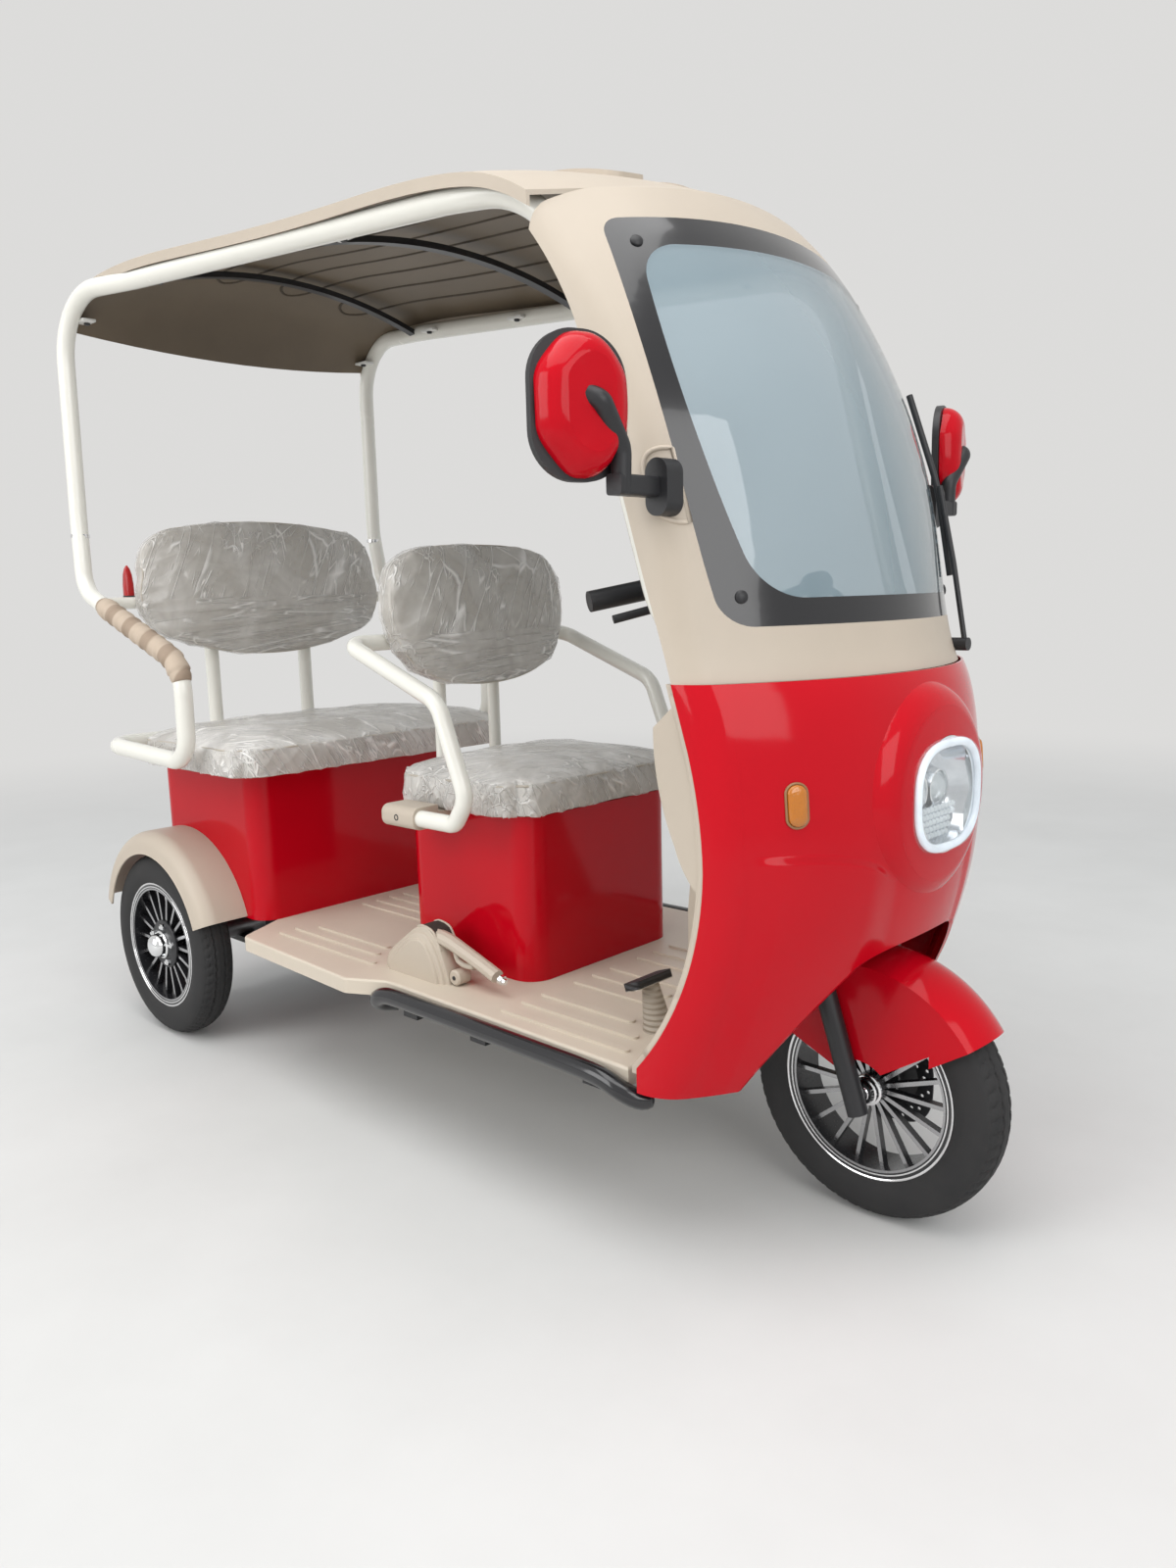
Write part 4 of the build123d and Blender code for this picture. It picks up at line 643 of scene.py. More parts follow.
def settle(pads):
    """Runs the cloth and keeps each pad's new shape, with no point moved further than its cap."""
    for number in range(1, PUFF_FRAMES + 1):
        bpy.context.scene.frame_set(number)
    depsgraph = bpy.context.evaluated_depsgraph_get()
    for pad, start, cap in pads:
        moved = pad.evaluated_get(depsgraph).to_mesh()
        ends = [v.co.copy() for v in moved.vertices]
        pad.evaluated_get(depsgraph).to_mesh_clear()
        pad.modifiers.clear()
        for index, vertex in enumerate(pad.data.vertices):
            shift = ends[index] - start[index]
            if shift.length > cap:
                shift *= cap / shift.length
            vertex.co = start[index] + shift
        eased(pad, 2)
    bpy.context.scene.frame_set(1)


def corner_points(name):
    lo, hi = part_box(name)
    return Vector(lo), Vector(hi)


def back_frame(x, shoulder, lean):
    """Middle of a back pad, its direction out towards the sitter, and its way up."""
    c, s = cos(radians(lean)), sin(radians(lean))
    return Vector((x, 0, shoulder)), Vector((c, 0, s)), Vector((-s, 0, c))


driver_box = corner_points("driver_cushion")
rear_box = corner_points("rear_cushion")
driver_back_at = back_frame(-0.072, 1.003, 6)
rear_back_at = back_frame(-0.884, 1.085, 4)
driver_place = cushion_place(*driver_box, corner=0.085, inset=0.005, crown=0.016, pull=0.006)
rear_place = cushion_place(*rear_box, corner=0.075, inset=0.006, crown=0.015, pull=0.006)
driver_back_place = back_place(driver_back_at, half=0.236, low=0.163, high=0.126, square=3.0)
rear_back_place = back_place(rear_back_at, half=0.330, low=0.198, high=0.136)
driver_pad = pad_start("driver_pad", "driver_cushion", 0.0075, driver_place, smooth_steps=5)
rear_pad = pad_start("rear_pad", "rear_cushion", 0.009, rear_place, smooth_steps=4)
driver_back_pad = pad_start("driver_back_pad", "driver_back", 0.007, driver_back_place, smooth_steps=7)
rear_back_pad = pad_start("rear_back_pad", "rear_back", 0.008, rear_back_place, smooth_steps=7)

HELD_AND_CAPS = (
    (driver_pad, cushion_held(*driver_box), 0.007),
    (rear_pad, cushion_held(*rear_box), 0.008),
    (driver_back_pad, back_held(driver_back_at), 0.009),
    (rear_back_pad, back_held(rear_back_at), 0.010),
)
for pad, held, cap in HELD_AND_CAPS:
    puff(pad, held)
settle([(pad, [v.co.copy() for v in pad.data.vertices], cap) for pad, held, cap in HELD_AND_CAPS])


# Wrapping film on the seats
def film_material(name, along, haze_and_sheen, strength, lines):
    """Clear film whose creases run mostly one way, shown as white lines of painted highlight over a haze that
    is partly the film's milkiness and partly a painted sheen.

    Each line is a set of creases: cells per metre across and along, crease width, and the
    two noise levels between which the set comes in.
    """
    # Near-white film: where its alpha rises, the creases show as painted highlights and the haze as a painted
    # sheen.
    mat, tree, bsdf = shader(name, (0.93, 0.905, 0.87), 0.16, spec=0.9)
    at = coords(tree)
    rotation = Matrix(frame_of(along)).to_euler()
    turned = node(tree, "ShaderNodeMapping", {"Vector": at, "Rotation": rotation}).outputs["Vector"]
    crease_highlights = None
    for index, (across, run, thin, low, high) in enumerate(lines):
        stretch = node(tree, "ShaderNodeMapping", {
            "Vector": turned, "Scale": (run, across, across), "Location": (3.1 * index, 1.7 * index, 0),
        })
        cells_at = {"Vector": stretch.outputs["Vector"], "Scale": 1.0}
        cells = node(tree, "ShaderNodeTexVoronoi", cells_at, feature="DISTANCE_TO_EDGE")
        line = soft_step(tree, cells.outputs["Distance"], thin, 0.0)
        where = noise_tex(tree, at, 5.5 + 4 * index, 2.0, 0.5, 0.4)
        both = maths(tree, "MULTIPLY", line, soft_step(tree, where, low, high))
        crease_highlights = both if crease_highlights is None else maths(tree, "MAXIMUM", crease_highlights, both)
    veil_and_sheen = noise_tex(tree, at, 7.0, 4.0, 0.6, 0.8)
    # Haze: partly the film's milkiness, partly a painted sheen.
    soft = spread(tree, veil_and_sheen, haze_and_sheen * 0.8, haze_and_sheen * 1.5, 0.42, 0.72)
    set_inputs(tree, bsdf, {"Alpha": maths(tree, "MULTIPLY_ADD", crease_highlights, strength, soft)})
    bump(tree, bsdf, veil_and_sheen, 0.5, 0.004)
    bump(tree, bsdf, crease_highlights, 0.8, 0.004)
    return mat


CUSHION_TOP, CUSHION_SIDE, BACK_UPPER, BACK_LOWER = range(4)
# Each film: the way its creases run, its haze (partly milkiness, partly a painted sheen that is strongest on
# cushion tops), the strength of its painted crease highlights, and its sets of creases.
FILMS = (
    film_material("film_top", (0.72, 0.69, 0.02), 0.56, 0.44, (
        (17, 1.0, 0.035, 0.42, 0.56), (40, 2.4, 0.05, 0.46, 0.58), (80, 6, 0.08, 0.50, 0.60))),
    film_material("film_front", (0.0, 0.55, -0.83), 0.46, 0.46, (
        (22, 2.2, 0.04, 0.38, 0.50), (50, 5, 0.06, 0.44, 0.54), (90, 10, 0.09, 0.48, 0.58))),
    film_material("film_back", (0.0, 0.42, 0.9), 0.36, 0.50, (
        (16, 1.2, 0.035, 0.40, 0.52), (40, 2.8, 0.05, 0.46, 0.56), (84, 7, 0.09, 0.50, 0.60))),
    film_material("film_low", (0.0, 1.0, 0.06), 0.40, 0.48, (
        (22, 1.0, 0.04, 0.36, 0.48), (48, 2.4, 0.06, 0.42, 0.52), (90, 7, 0.09, 0.48, 0.58))),
)
FILM_GAP = 0.0012
LOOKS_UP = 0.6
BACK_FOLD_LINE = -0.055


def crease(u, v, angle, across, along, seed, sharp):
    """Height from 0 to 1 of folds that run at an angle."""
    a = u * cos(angle) + v * sin(angle)
    b = v * cos(angle) - u * sin(angle)
    return max(0.0, 1.0 - abs(noise.noise(Vector((a * along, b * across, seed)))) * sharp) ** 2


def cushion_film(p, normal):
    """Which film a place on a cushion has, and the height of its folds there."""
    if normal.z > LOOKS_UP:
        long_fold = crease(p.x, p.y, 0.75, 9, 1.6, 2.0, 3.0)
        return CUSHION_TOP, 0.0028 * long_fold + 0.0012 * crease(p.x, p.y, 0.6, 26, 4, 5.0, 2.5)
    wide = p.y if abs(normal.x) > abs(normal.y) else p.x
    long_fold = crease(wide, p.z, -0.9, 17, 5, 9.0, 2.4)
    return CUSHION_SIDE, 0.0042 * long_fold + 0.002 * crease(wide, p.z, 0.9, 34, 9, 4.0, 2.4)


def back_film(at):
    """The same for a back pad, whose lower part is drawn in level folds."""
    center, out, up = at

    def film(p, normal):
        height = (p - center).dot(up)
        if height < BACK_FOLD_LINE:
            return BACK_LOWER, 0.0045 * crease(p.y, height, 0.05, 22, 2.2, 7.0, 2.2)
        long_fold = crease(p.y, height, 1.05, 13, 2.6, 3.0, 2.6)
        return BACK_UPPER, 0.004 * long_fold + 0.0018 * crease(p.y, height, 0.5, 30, 5, 8.0, 2.4)

    return film


def film_over(name, pad, film, low_z=None):
    """Wrapping film just over a pad, with its folds raised and its underside left open."""
    skin = bpy.data.objects.new(name, pad.data.copy())
    bpy.context.scene.collection.objects.link(skin)
    finer = skin.modifiers.new("finer", "SUBSURF")
    finer.levels = 1
    finer.render_levels = 1
    baked(skin)
    mesh = skin.data
    if low_z is not None:
        cut = bmesh.new()
        cut.from_mesh(mesh)
        hidden = [f for f in cut.faces if f.calc_center_median().z < low_z and f.normal.z < -LOOKS_UP]
        bmesh.ops.delete(cut, geom=hidden, context="FACES")
        cut.to_mesh(mesh)
        cut.free()
    normals = [v.normal.copy() for v in mesh.vertices]
    for vertex, normal in zip(mesh.vertices, normals):
        vertex.co = vertex.co + normal * (FILM_GAP + film(vertex.co, normal)[1])
    mesh.materials.clear()
    for mat in FILMS:
        mesh.materials.append(mat)
    for face in mesh.polygons:
        face.material_index = film(face.center, face.normal)[0]
        face.use_smooth = True
    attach(skin, "body")


def dress_pad(pad, node_name):
    mesh = pad.data
    mesh.materials.clear()
    mesh.materials.append(mat_leather)
    mesh.polygons.foreach_set("use_smooth", [True] * len(mesh.polygons))
    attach(pad, "body")
    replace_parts(pad, node_name)


dress_pad(driver_pad, "driver_cushion")
dress_pad(rear_pad, "rear_cushion")
dress_pad(driver_back_pad, "driver_back")
dress_pad(rear_back_pad, "rear_back")
film_over("driver_pad_film", driver_pad, cushion_film, driver_box[0].z + 0.02)
film_over("rear_pad_film", rear_pad, cushion_film, rear_box[0].z + 0.02)
film_over("driver_back_film", driver_back_pad, back_film(driver_back_at))
film_over("rear_back_film", rear_back_pad, back_film(rear_back_at))

mat_piping = moulded("seat_piping", scaled(TAUPE, 1.25), rough=0.4, grain=0.4, grain_scale=600.0)


def piping(name, pad, center, first, second, reach=0.8, lift=0.0008, sides=160, radius=0.0024):
    """A sewn-in piping line round a pad, found by rays from outside in one plane."""
    skin = tree_of(pad.data)
    path = []
    for turn in angles(sides):
        out = (first * cos(turn) + second * sin(turn)).normalized()
        point, _ = first_hit(skin, center + out * reach, -out)
        if point is not None:
            path.append(point + out * lift)
    add_tube(name, path, radius, 8, mat_piping, "seat_cover", closed=True)


for name, pad, (lo, hi) in (("driver", driver_pad, driver_box), ("rear", rear_pad, rear_box)):
    middle = Vector(((lo.x + hi.x) / 2, 0, hi.z - CUSHION_SEAM_DROP))
    half_x, half_y = Vector(((hi.x - lo.x) / 2, 0, 0)), Vector((0, (hi.y - lo.y) / 2, 0))
    piping(name + "_cushion_piping", pad, middle, half_x, half_y)
for name, pad, (center, out, up), half in (
    ("driver", driver_back_pad, driver_back_at, 0.236),
    ("rear", rear_back_pad, rear_back_at, 0.33),
):
    piping(name + "_back_piping", pad, center + out * BACK_SEAM_DEPTH, Vector((0, half, 0)), up * 0.15)


# Wheels
WHEELS = (
    ("front", Vector((0.866, 0.0, 0.22)), "front_wheel", "front_tyre"),
    ("rear_right", Vector((-0.814, -0.358, 0.22)), "rear_wheel_right", "rear_right_tyre"),
    ("rear_left", Vector((-0.814, 0.358, 0.22)), "rear_wheel_left", "rear_left_tyre"),
)
FRONT_HUB_AT = WHEELS[0][1]
DISC_BLACK = (0.05, 0.05, 0.053)
mat_polished = metal_mat("polished_alloy", (0.82, 0.82, 0.83), rough=0.12, vary=0.04, brushed=0.05)
mat_disc = metal_mat("brake_disc", DISC_BLACK, rough=0.45, vary=0.15, brushed=0.25, stretch=(1, 1, 6))

# Half a tyre's section: place across from the middle, and radius; the first five points are tread
TYRE_HALF = (
    (0.0, 0.2198), (0.012, 0.2190), (0.022, 0.2163), (0.030, 0.2122), (0.036, 0.2058),
    (0.0395, 0.1970), (0.0415, 0.1850), (0.0418, 0.1720), (0.0395, 0.1590), (0.0350, 0.1510),
    (0.0335, 0.1482),
)
TREAD_POINTS = 5
TREAD_STEP = 0.0016
TYRE_STEPS = 300
TREAD_PITCHES = 60
ZIGZAG_AT = 0.011
ZIGZAG_SWAY = 0.0022
SIPE_INNER, SIPE_OUTER = 0.0175, 0.0345
SIPE_DEPTH = 0.0024
SIPE_SHARE = 0.26


def tyre_radius(across):
    """The tread's outer radius, between straight and smoothed steps from point to point."""
    across = abs(across)
    for (y0, r0), (y1, r1) in zip(TYRE_HALF, TYRE_HALF[1:TREAD_POINTS]):
        if across <= y1:
            t = (across - y0) / (y1 - y0)
            return r0 + (r1 - r0) * (t * t * (3 - 2 * t) * 0.35 + t * 0.65)
    return TYRE_HALF[TREAD_POINTS - 1][1]


def groove(distance, width, depth, wall=0.0008):
    return depth * max(0.0, min(1.0, (width - abs(distance)) / wall))


def tread_cut(across, turn):
    """Depth of the tread's pattern: two zigzag grooves, a middle line and slanted sipes."""
    sway = ZIGZAG_SWAY * (abs((turn % 1.0) * 2 - 1) * 2 - 1)
    cuts = [groove(across - at - sway, 0.0019, 0.0032) for at in (ZIGZAG_AT, -ZIGZAG_AT)]
    cuts.append(groove(across, 0.0010, 0.0015))
    wide = abs(across)
    if SIPE_INNER < wide < SIPE_OUTER and (turn + wide * 26) % 1.0 < SIPE_SHARE:
        fade = min(1.0, (wide - SIPE_INNER) / 0.003) * min(1.0, (SIPE_OUTER - wide) / 0.003)
        cuts.append(SIPE_DEPTH * fade)
    return max(cuts)


def tyre_mesh(name):
    """Road tyre with its tread pattern cut into the outer face."""
    edge = TYRE_HALF[TREAD_POINTS - 1][0]
    tread = [TREAD_STEP * index - edge for index in range(round(2 * edge / TREAD_STEP) + 1)]
    side = list(TYRE_HALF[TREAD_POINTS:])
    points = []
    for step, angle in enumerate(angles(TYRE_STEPS)):
        turn = step * TREAD_PITCHES / TYRE_STEPS
        ring = [(-y, r) for y, r in reversed(side)]
        ring += [(across, tyre_radius(across) - tread_cut(across, turn)) for across in tread]
        ring += side
        points += [(radius * cos(angle), across, radius * sin(angle)) for across, radius in ring]
    return mesh_from(name, points, grid_faces(TYRE_STEPS, len(ring), True, False))


# Profiles of (along, radius) pairs, along the axle from the wheel's middle
LIPS = (
    ("lip", mat_border, ((0.0300, 0.1370), (0.0356, 0.1372), (0.0356, 0.1512), (0.0300, 0.1514))),
    ("lip_outer", mat_polished, (
        (0.0350, 0.1462), (0.0364, 0.1468), (0.0372, 0.1486), (0.0366, 0.1503), (0.0350, 0.1510))),
    ("lip_inner", mat_polished, (
        (0.0350, 0.1392), (0.0362, 0.1397), (0.0366, 0.1408), (0.0362, 0.1419), (0.0350, 0.1424))),
)
FRONT_HUB = (
    (0.030, 0.0), (0.030, 0.0262), (0.0338, 0.0262), (0.0350, 0.0245), (0.0352, 0.0225), (0.0400, 0.0205),
    (0.0410, 0.0225), (0.0425, 0.0225), (0.0435, 0.0200), (0.0500, 0.0180), (0.0510, 0.0130),
    (0.0540, 0.0125), (0.0540, 0.0),
)
REAR_HUB = (
    (0.026, 0.0), (0.026, 0.0335), (0.0345, 0.0335), (0.0360, 0.0320), (0.0372, 0.0292), (0.0440, 0.0285),
    (0.0520, 0.0262), (0.0580, 0.0205), (0.0612, 0.0120), (0.0620, 0.0050), (0.0622, 0.0),
)
REAR_FLANGE = ((0.020, 0.0), (0.020, 0.057), (0.0245, 0.0575), (0.0260, 0.0555), (0.0262, 0.030))
NUT_SIZE, NUT_HEIGHT = 0.008, 0.012
NUT_PROFILE = [
    (NUT_HEIGHT * along, NUT_SIZE * radius)
    for along, radius in ((0, 0), (0, 1), (0.6, 1), (0.72, 0.86), (0.74, 0.7), (1, 0.45), (1.08, 0))
]
NUT_COUNT = 5
NUT_CIRCLE = 0.045
NUT_SEAT = 0.0262


def rear_hub(wheel, place, out, body):
    """A rear wheel's outer hub cap, its flange and its nuts."""
    add_turned(f"{wheel}_hub", REAR_HUB, place, out, 48, mat_chrome, "axle_steel", 38, body)
    add_turned(f"{wheel}_flange", REAR_FLANGE, place, out, 48, mat_frame, "wheel_alloy", 38, body)
    for number in range(NUT_COUNT):
        angle = 2 * pi * (number + 0.12) / NUT_COUNT
        at = place + out * NUT_SEAT + Vector((cos(angle), 0, sin(angle))) * NUT_CIRCLE
        add_turned(f"{wheel}_nut_{number}", NUT_PROFILE, at, out, 6, mat_chrome, "axle_steel", 30, body)


for wheel, place, body, tyre_node in WHEELS:
    tyre = add_piece("tyre_" + wheel, tyre_mesh("tyre_" + wheel), mat_tyre, "tyre_black", 28, body)
    tyre.location = place
    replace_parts(tyre, tyre_node)
    for face, side in SIDES:
        out = Vector((0, side, 0))
        for lip, mat, profile in LIPS:
            name = f"{wheel}_{lip}_{face}"
            add_turned(name, profile, place, out, 96, mat, "wheel_alloy", 40, body, closed=True)
        if wheel == "front":
            add_turned(f"front_hub_{face}", FRONT_HUB, place, out, 40, mat_polished, "wheel_alloy", 30, body)
        elif wheel == "rear_" + face:
            rear_hub(wheel, place, out, body)


# Front brake disc
DISC_OUTER, DISC_INNER, DISC_THICK = 0.076, 0.046, 0.0035
DISC_AT = FRONT_HUB_AT + Vector((0, 0.046, 0))
HOLE_RADIUS, HOLES_PER_RING = 0.003, 12
HOLE_RINGS = ((0.054, 0.0), (0.061, 0.33), (0.069, 0.66))
CARRIER = (
    (0.034, 0.0), (0.034, 0.030), (0.0445, 0.051), (0.048, 0.052), (0.048, 0.046), (0.040, 0.027),
    (0.040, 0.0),
)


def add_circle(curve, x, y, radius):
    """A circle as a closed spline of eight weighted points."""
    spline = curve.splines.new("NURBS")
    spline.points.add(7)
    for index, angle in enumerate(angles(8)):
        on_corner = index % 2
        grow = radius * sqrt(2) if on_corner else radius
        weight = sqrt(0.5) if on_corner else 1.0
        spline.points[index].co = (x + grow * cos(angle), y + grow * sin(angle), 0, weight)
    spline.use_cyclic_u = True
    spline.order_u = 4


def drilled_disc(name, place, body):
    """Flat disc with round holes, from a filled flat curve."""
    curve = bpy.data.curves.new(name, "CURVE")
    curve.dimensions = "2D"
    curve.fill_mode = "BOTH"
    curve.extrude = DISC_THICK / 2
    curve.resolution_u = 10
    add_circle(curve, 0, 0, DISC_OUTER)
    add_circle(curve, 0, 0, DISC_INNER)
    for radius, phase in HOLE_RINGS:
        for number in range(HOLES_PER_RING):
            angle = 2 * pi * (number + phase) / HOLES_PER_RING
            add_circle(curve, radius * cos(angle), radius * sin(angle), HOLE_RADIUS)
    holder = bpy.data.objects.new(name + "_curve", curve)
    bpy.context.scene.collection.objects.link(holder)
    mesh = bpy.data.meshes.new_from_object(holder.evaluated_get(bpy.context.evaluated_depsgraph_get()))
    bpy.data.objects.remove(holder)
    disc = add_piece(name, mesh, mat_disc, "axle_steel", 30, body)
    disc.data.transform(Matrix.Translation(place) @ Matrix.Rotation(pi / 2, 4, "X"))


drilled_disc("front_brake_disc", DISC_AT, "front_wheel")
add_turned(
    "front_disc_carrier", CARRIER, FRONT_HUB_AT, (0, 1, 0), 40, mat_frame, "frame_black", 30, "front_wheel"
)

# Headlight
LAMP_Z = 0.714
LAMP_SWEEP = 0.10
PROJECTOR_X, PROJECTOR_Y, PROJECTOR_Z = 0.928, 0.034, 0.716
mat_led = lamp_material("led_ring", (0.72, 0.80, 0.88), rough=0.14)
set_inputs(*parts_of(mat_led), {"Emission Color": (0.9, 0.96, 1.0, 1), "Emission Strength": 0.15})
mat_reflector = metal_mat("reflector", (0.62, 0.65, 0.68), rough=0.14, vary=0.12)
mat_bubble = lamp_material("bubble_clear", (0.80, 0.86, 0.88), rough=0.05, alpha=0.55)

# Squared rings: half width, half height, squareness and place along X
REFLECTOR_ROWS = (
    (0.0965, 0.0790, 2.8, 0.9765), (0.0860, 0.0745, 2.5, 0.9755), (0.0835, 0.0730, 2.4, 0.9690),
    (0.0790, 0.0710, 2.3, 0.9540), (0.0680, 0.0640, 2.3, 0.9400), (0.0500, 0.0490, 2.1, 0.9320),
    (0.0300, 0.0300, 2.0, 0.9280), (0.0, 0.0, 2.0, 0.9260),
)
COVER_ROWS = (
    (0.1050, 0.0875, 2.8, 0.9725), (0.1040, 0.0865, 2.8, 0.9800), (0.0990, 0.0820, 2.8, 0.9855),
    (0.0850, 0.0700, 2.7, 0.9900), (0.0600, 0.0500, 2.5, 0.9930), (0.0300, 0.0260, 2.2, 0.9945),
    (0.0, 0.0, 2.0, 0.9950),
)
PROJECTOR = (
    (0.0, 0.0), (0.0, 0.026), (0.012, 0.026), (0.0125, 0.0225), (0.017, 0.0195), (0.0215, 0.014),
    (0.0242, 0.007), (0.025, 0.0),
)
PROJECTOR_COLLAR = ((0.0, 0.027), (0.0, 0.031), (0.016, 0.0305), (0.016, 0.027))


def squircle(half_y, half_z, power, count, middle_z, x, sweep=LAMP_SWEEP):
    """A squared ring across the front, swept back towards its sides."""
    points = []
    for turn in angles(count):
        y = half_y * bent(cos(turn), 2 / power)
        z = half_z * bent(sin(turn), 2 / power)
        points.append(Vector((x - sweep * y * y, y, middle_z + z)))
    return points


def bowl_mesh(name, rows):
    return lofted(name, [squircle(half_y, half_z, power, 84, LAMP_Z, x) for half_y, half_z, power, x in rows])


add_tube(
    "headlight_ring", squircle(0.0965, 0.0790, 2.8, 112, LAMP_Z, 0.9775), 0.0068, 12, mat_led, "lamp_clear",
    closed=True, flat=0.8, up_hint=(1, 0, 0),
)
add_piece("headlight_reflector", bowl_mesh("reflector", REFLECTOR_ROWS), mat_reflector, "lamp_chrome", 25)
cover = add_piece("headlight_cover", bowl_mesh("headlight_cover", COVER_ROWS), mat_lens, "lamp_clear")
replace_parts(cover, "headlight_lens")
for kind, profile, closed, mat, slot in (
    ("projector", PROJECTOR, False, mat_bubble, "lamp_clear"),
    ("collar", PROJECTOR_COLLAR, True, mat_chrome, "lamp_chrome"),
):
    for side_name, side in SIDES:
        place = (PROJECTOR_X, side * PROJECTOR_Y, PROJECTOR_Z)
        add_turned(f"headlight_{kind}_{side_name}", profile, place, (1, 0, 0), 36, mat, slot, closed=closed)


def dome_mesh(points, faces, middle, size, sides=10):
    """Adds one small dome that bulges forward to lists of points and faces."""
    base = len(points)
    points.append(middle + Vector((size, 0, 0)))
    for reach, lift in ((0.55, 0.82), (0.85, 0.5), (1.0, 0.0)):
        ring = [Vector((lift, reach * cos(turn), reach * sin(turn))) for turn in angles(sides)]
        points += [middle + size * point for point in ring]
    faces += [(base, base + 1 + step, base + 1 + (step + 1) % sides) for step in range(sides)]
    faces += [tuple(base + 1 + corner for corner in face) for face in grid_faces(3, sides)]


def bubble_field():
    """Rows of small clear domes on the lower part of the reflector."""
    points, faces = [], []
    pitch, size, half_width, half_height = 0.0115, 0.0052, 0.062, 0.0775
    row, z = 0, LAMP_Z - 0.024
    while z > LAMP_Z - 0.066:
        width = half_width * sqrt(1 - ((LAMP_Z - z) / half_height) ** 2)
        y = -width + (row % 2) * pitch / 2
        while y < width:
            dome_mesh(points, faces, Vector((0.955, y, z)), size)
            y += pitch
        z -= pitch * 0.87
        row += 1
    return mesh_from("bubbles", points, faces)


add_piece("headlight_bubbles", bubble_field(), mat_bubble, "lamp_clear")
plate = squircle(0.062, 0.0265, 2.6, 40, LAMP_Z - 0.045, 0.954, sweep=0)
plate_rear = [point - Vector((0.004, 0, 0)) for point in plate]
plate_mesh = lofted("bubble_plate", [plate, plate_rear], start_cap=True)
add_piece("headlight_bubble_plate", plate_mesh, mat_reflector, "lamp_chrome", 30)

# Rolled lips on the rear edges of the red cowl
cowl_skin = tree_of(nodes["cowl_lower"].data)
mat_lip = moulded("lip_beige", scaled(BEIGE, 1.05), rough=0.42, grain=0.15)


def door_edge(z, side):
    """Rearmost point of the red cowl's side at one height, found by halving."""
    last = None
    low, high = 0.56, 0.86
    for _ in range(18):
        x = (low + high) / 2
        point, _normal = first_hit(cowl_skin, (x, side * 0.6, z), (0, -side, 0), 0.35)
        if point is None:
            low = x
        else:
            high = x
            last = point
    return last


for side_name, side in SIDES:
    lip = []
    z = 0.345
    while z < 0.892:
        found = door_edge(z, side)
        if found is not None:
            lip.append(found + Vector((-0.0035, -side * 0.006, 0)))
        z += 0.012
    add_tube("door_lip_" + side_name, lip, 0.0085, 10, mat_lip, "shell_beige", flat=0.55, up_hint=(0, 1, 0))

# Bolts at the windshield border's corners
border_skin = tree_of(nodes["windshield_border"].data)
BORDER_BOLT = (
    (0.0, 0.0), (0.0, 0.0095), (0.0022, 0.0092), (0.0042, 0.0070), (0.0052, 0.0035), (0.0054, 0.0),
)
BORDER_BOLTS_AT = ((-0.299, 1.513), (0.299, 1.513), (-0.300, 1.016), (0.300, 1.016))
for index, (y, z) in enumerate(BORDER_BOLTS_AT):
    point, normal = first_hit(border_skin, (1.4, y, z), (-1, 0, 0))
    add_turned(f"border_bolt_{index}", BORDER_BOLT, point, normal, 20, mat_black, "plastic_black")

# Front signals: long lenses let into the cowl, each in a thin rim
SIGNAL_Y, SIGNAL_Z = 0.2845, 0.731
# Radius, straight half length and height over the cowl
SIGNAL_ROWS = (
    (0.0128, 0.0165, 0.0), (0.0125, 0.0165, 0.0045), (0.0112, 0.0162, 0.0062), (0.0080, 0.0150, 0.0074),
    (0.0040, 0.0110, 0.0078),
)
mat_bezel = moulded("signal_bezel", (0.30, 0.16, 0.07), rough=0.35, grain=0.1)


def signal_ring(side, radius, straight, lift):
    """A long ring on the cowl's front, lifted off its surface."""
    ring = []
    for across, up in long_ring(radius, straight, 48):
        start = (1.3, side * SIGNAL_Y + across, SIGNAL_Z + up)
        point, normal = first_hit(cowl_skin, start, (-1, 0, 0))
        ring.append(point + normal * lift)
    return ring


for side_name, side in SIDES:
    lens_mesh = lofted("signal_lens", [signal_ring(side, *row) for row in SIGNAL_ROWS], end_cap=True)
    lens = add_piece("signal_lens_" + side_name, lens_mesh, mat_amber, "lamp_amber", 50)
    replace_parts(lens, "front_signals")
    rim = signal_ring(side, 0.0145, 0.0165, 0.0012)
    add_tube("signal_rim_" + side_name, rim, 0.0020, 8, mat_bezel, "shell_beige", closed=True)

# Screws in the rail covers beside the driver's seat
COVER_SCREW = (
    (0.0, 0.0), (0.0, 0.0062), (0.0012, 0.0060), (0.0014, 0.0042), (-0.002, 0.0036), (-0.002, 0.0),
)
for side_name, side in SIDES:
    place = (0.032, side * 0.3165, 0.618)
    add_turned("cover_screw_" + side_name, COVER_SCREW, place, (0, side, 0), 20, mat_black, "plastic_black")

# Roof: grooves moulded in the underside, drawn as near-black lines of painted shade, with loops where it
# turns down at the rear
roof_skin = tree_of(nodes["roof_panel"].data)
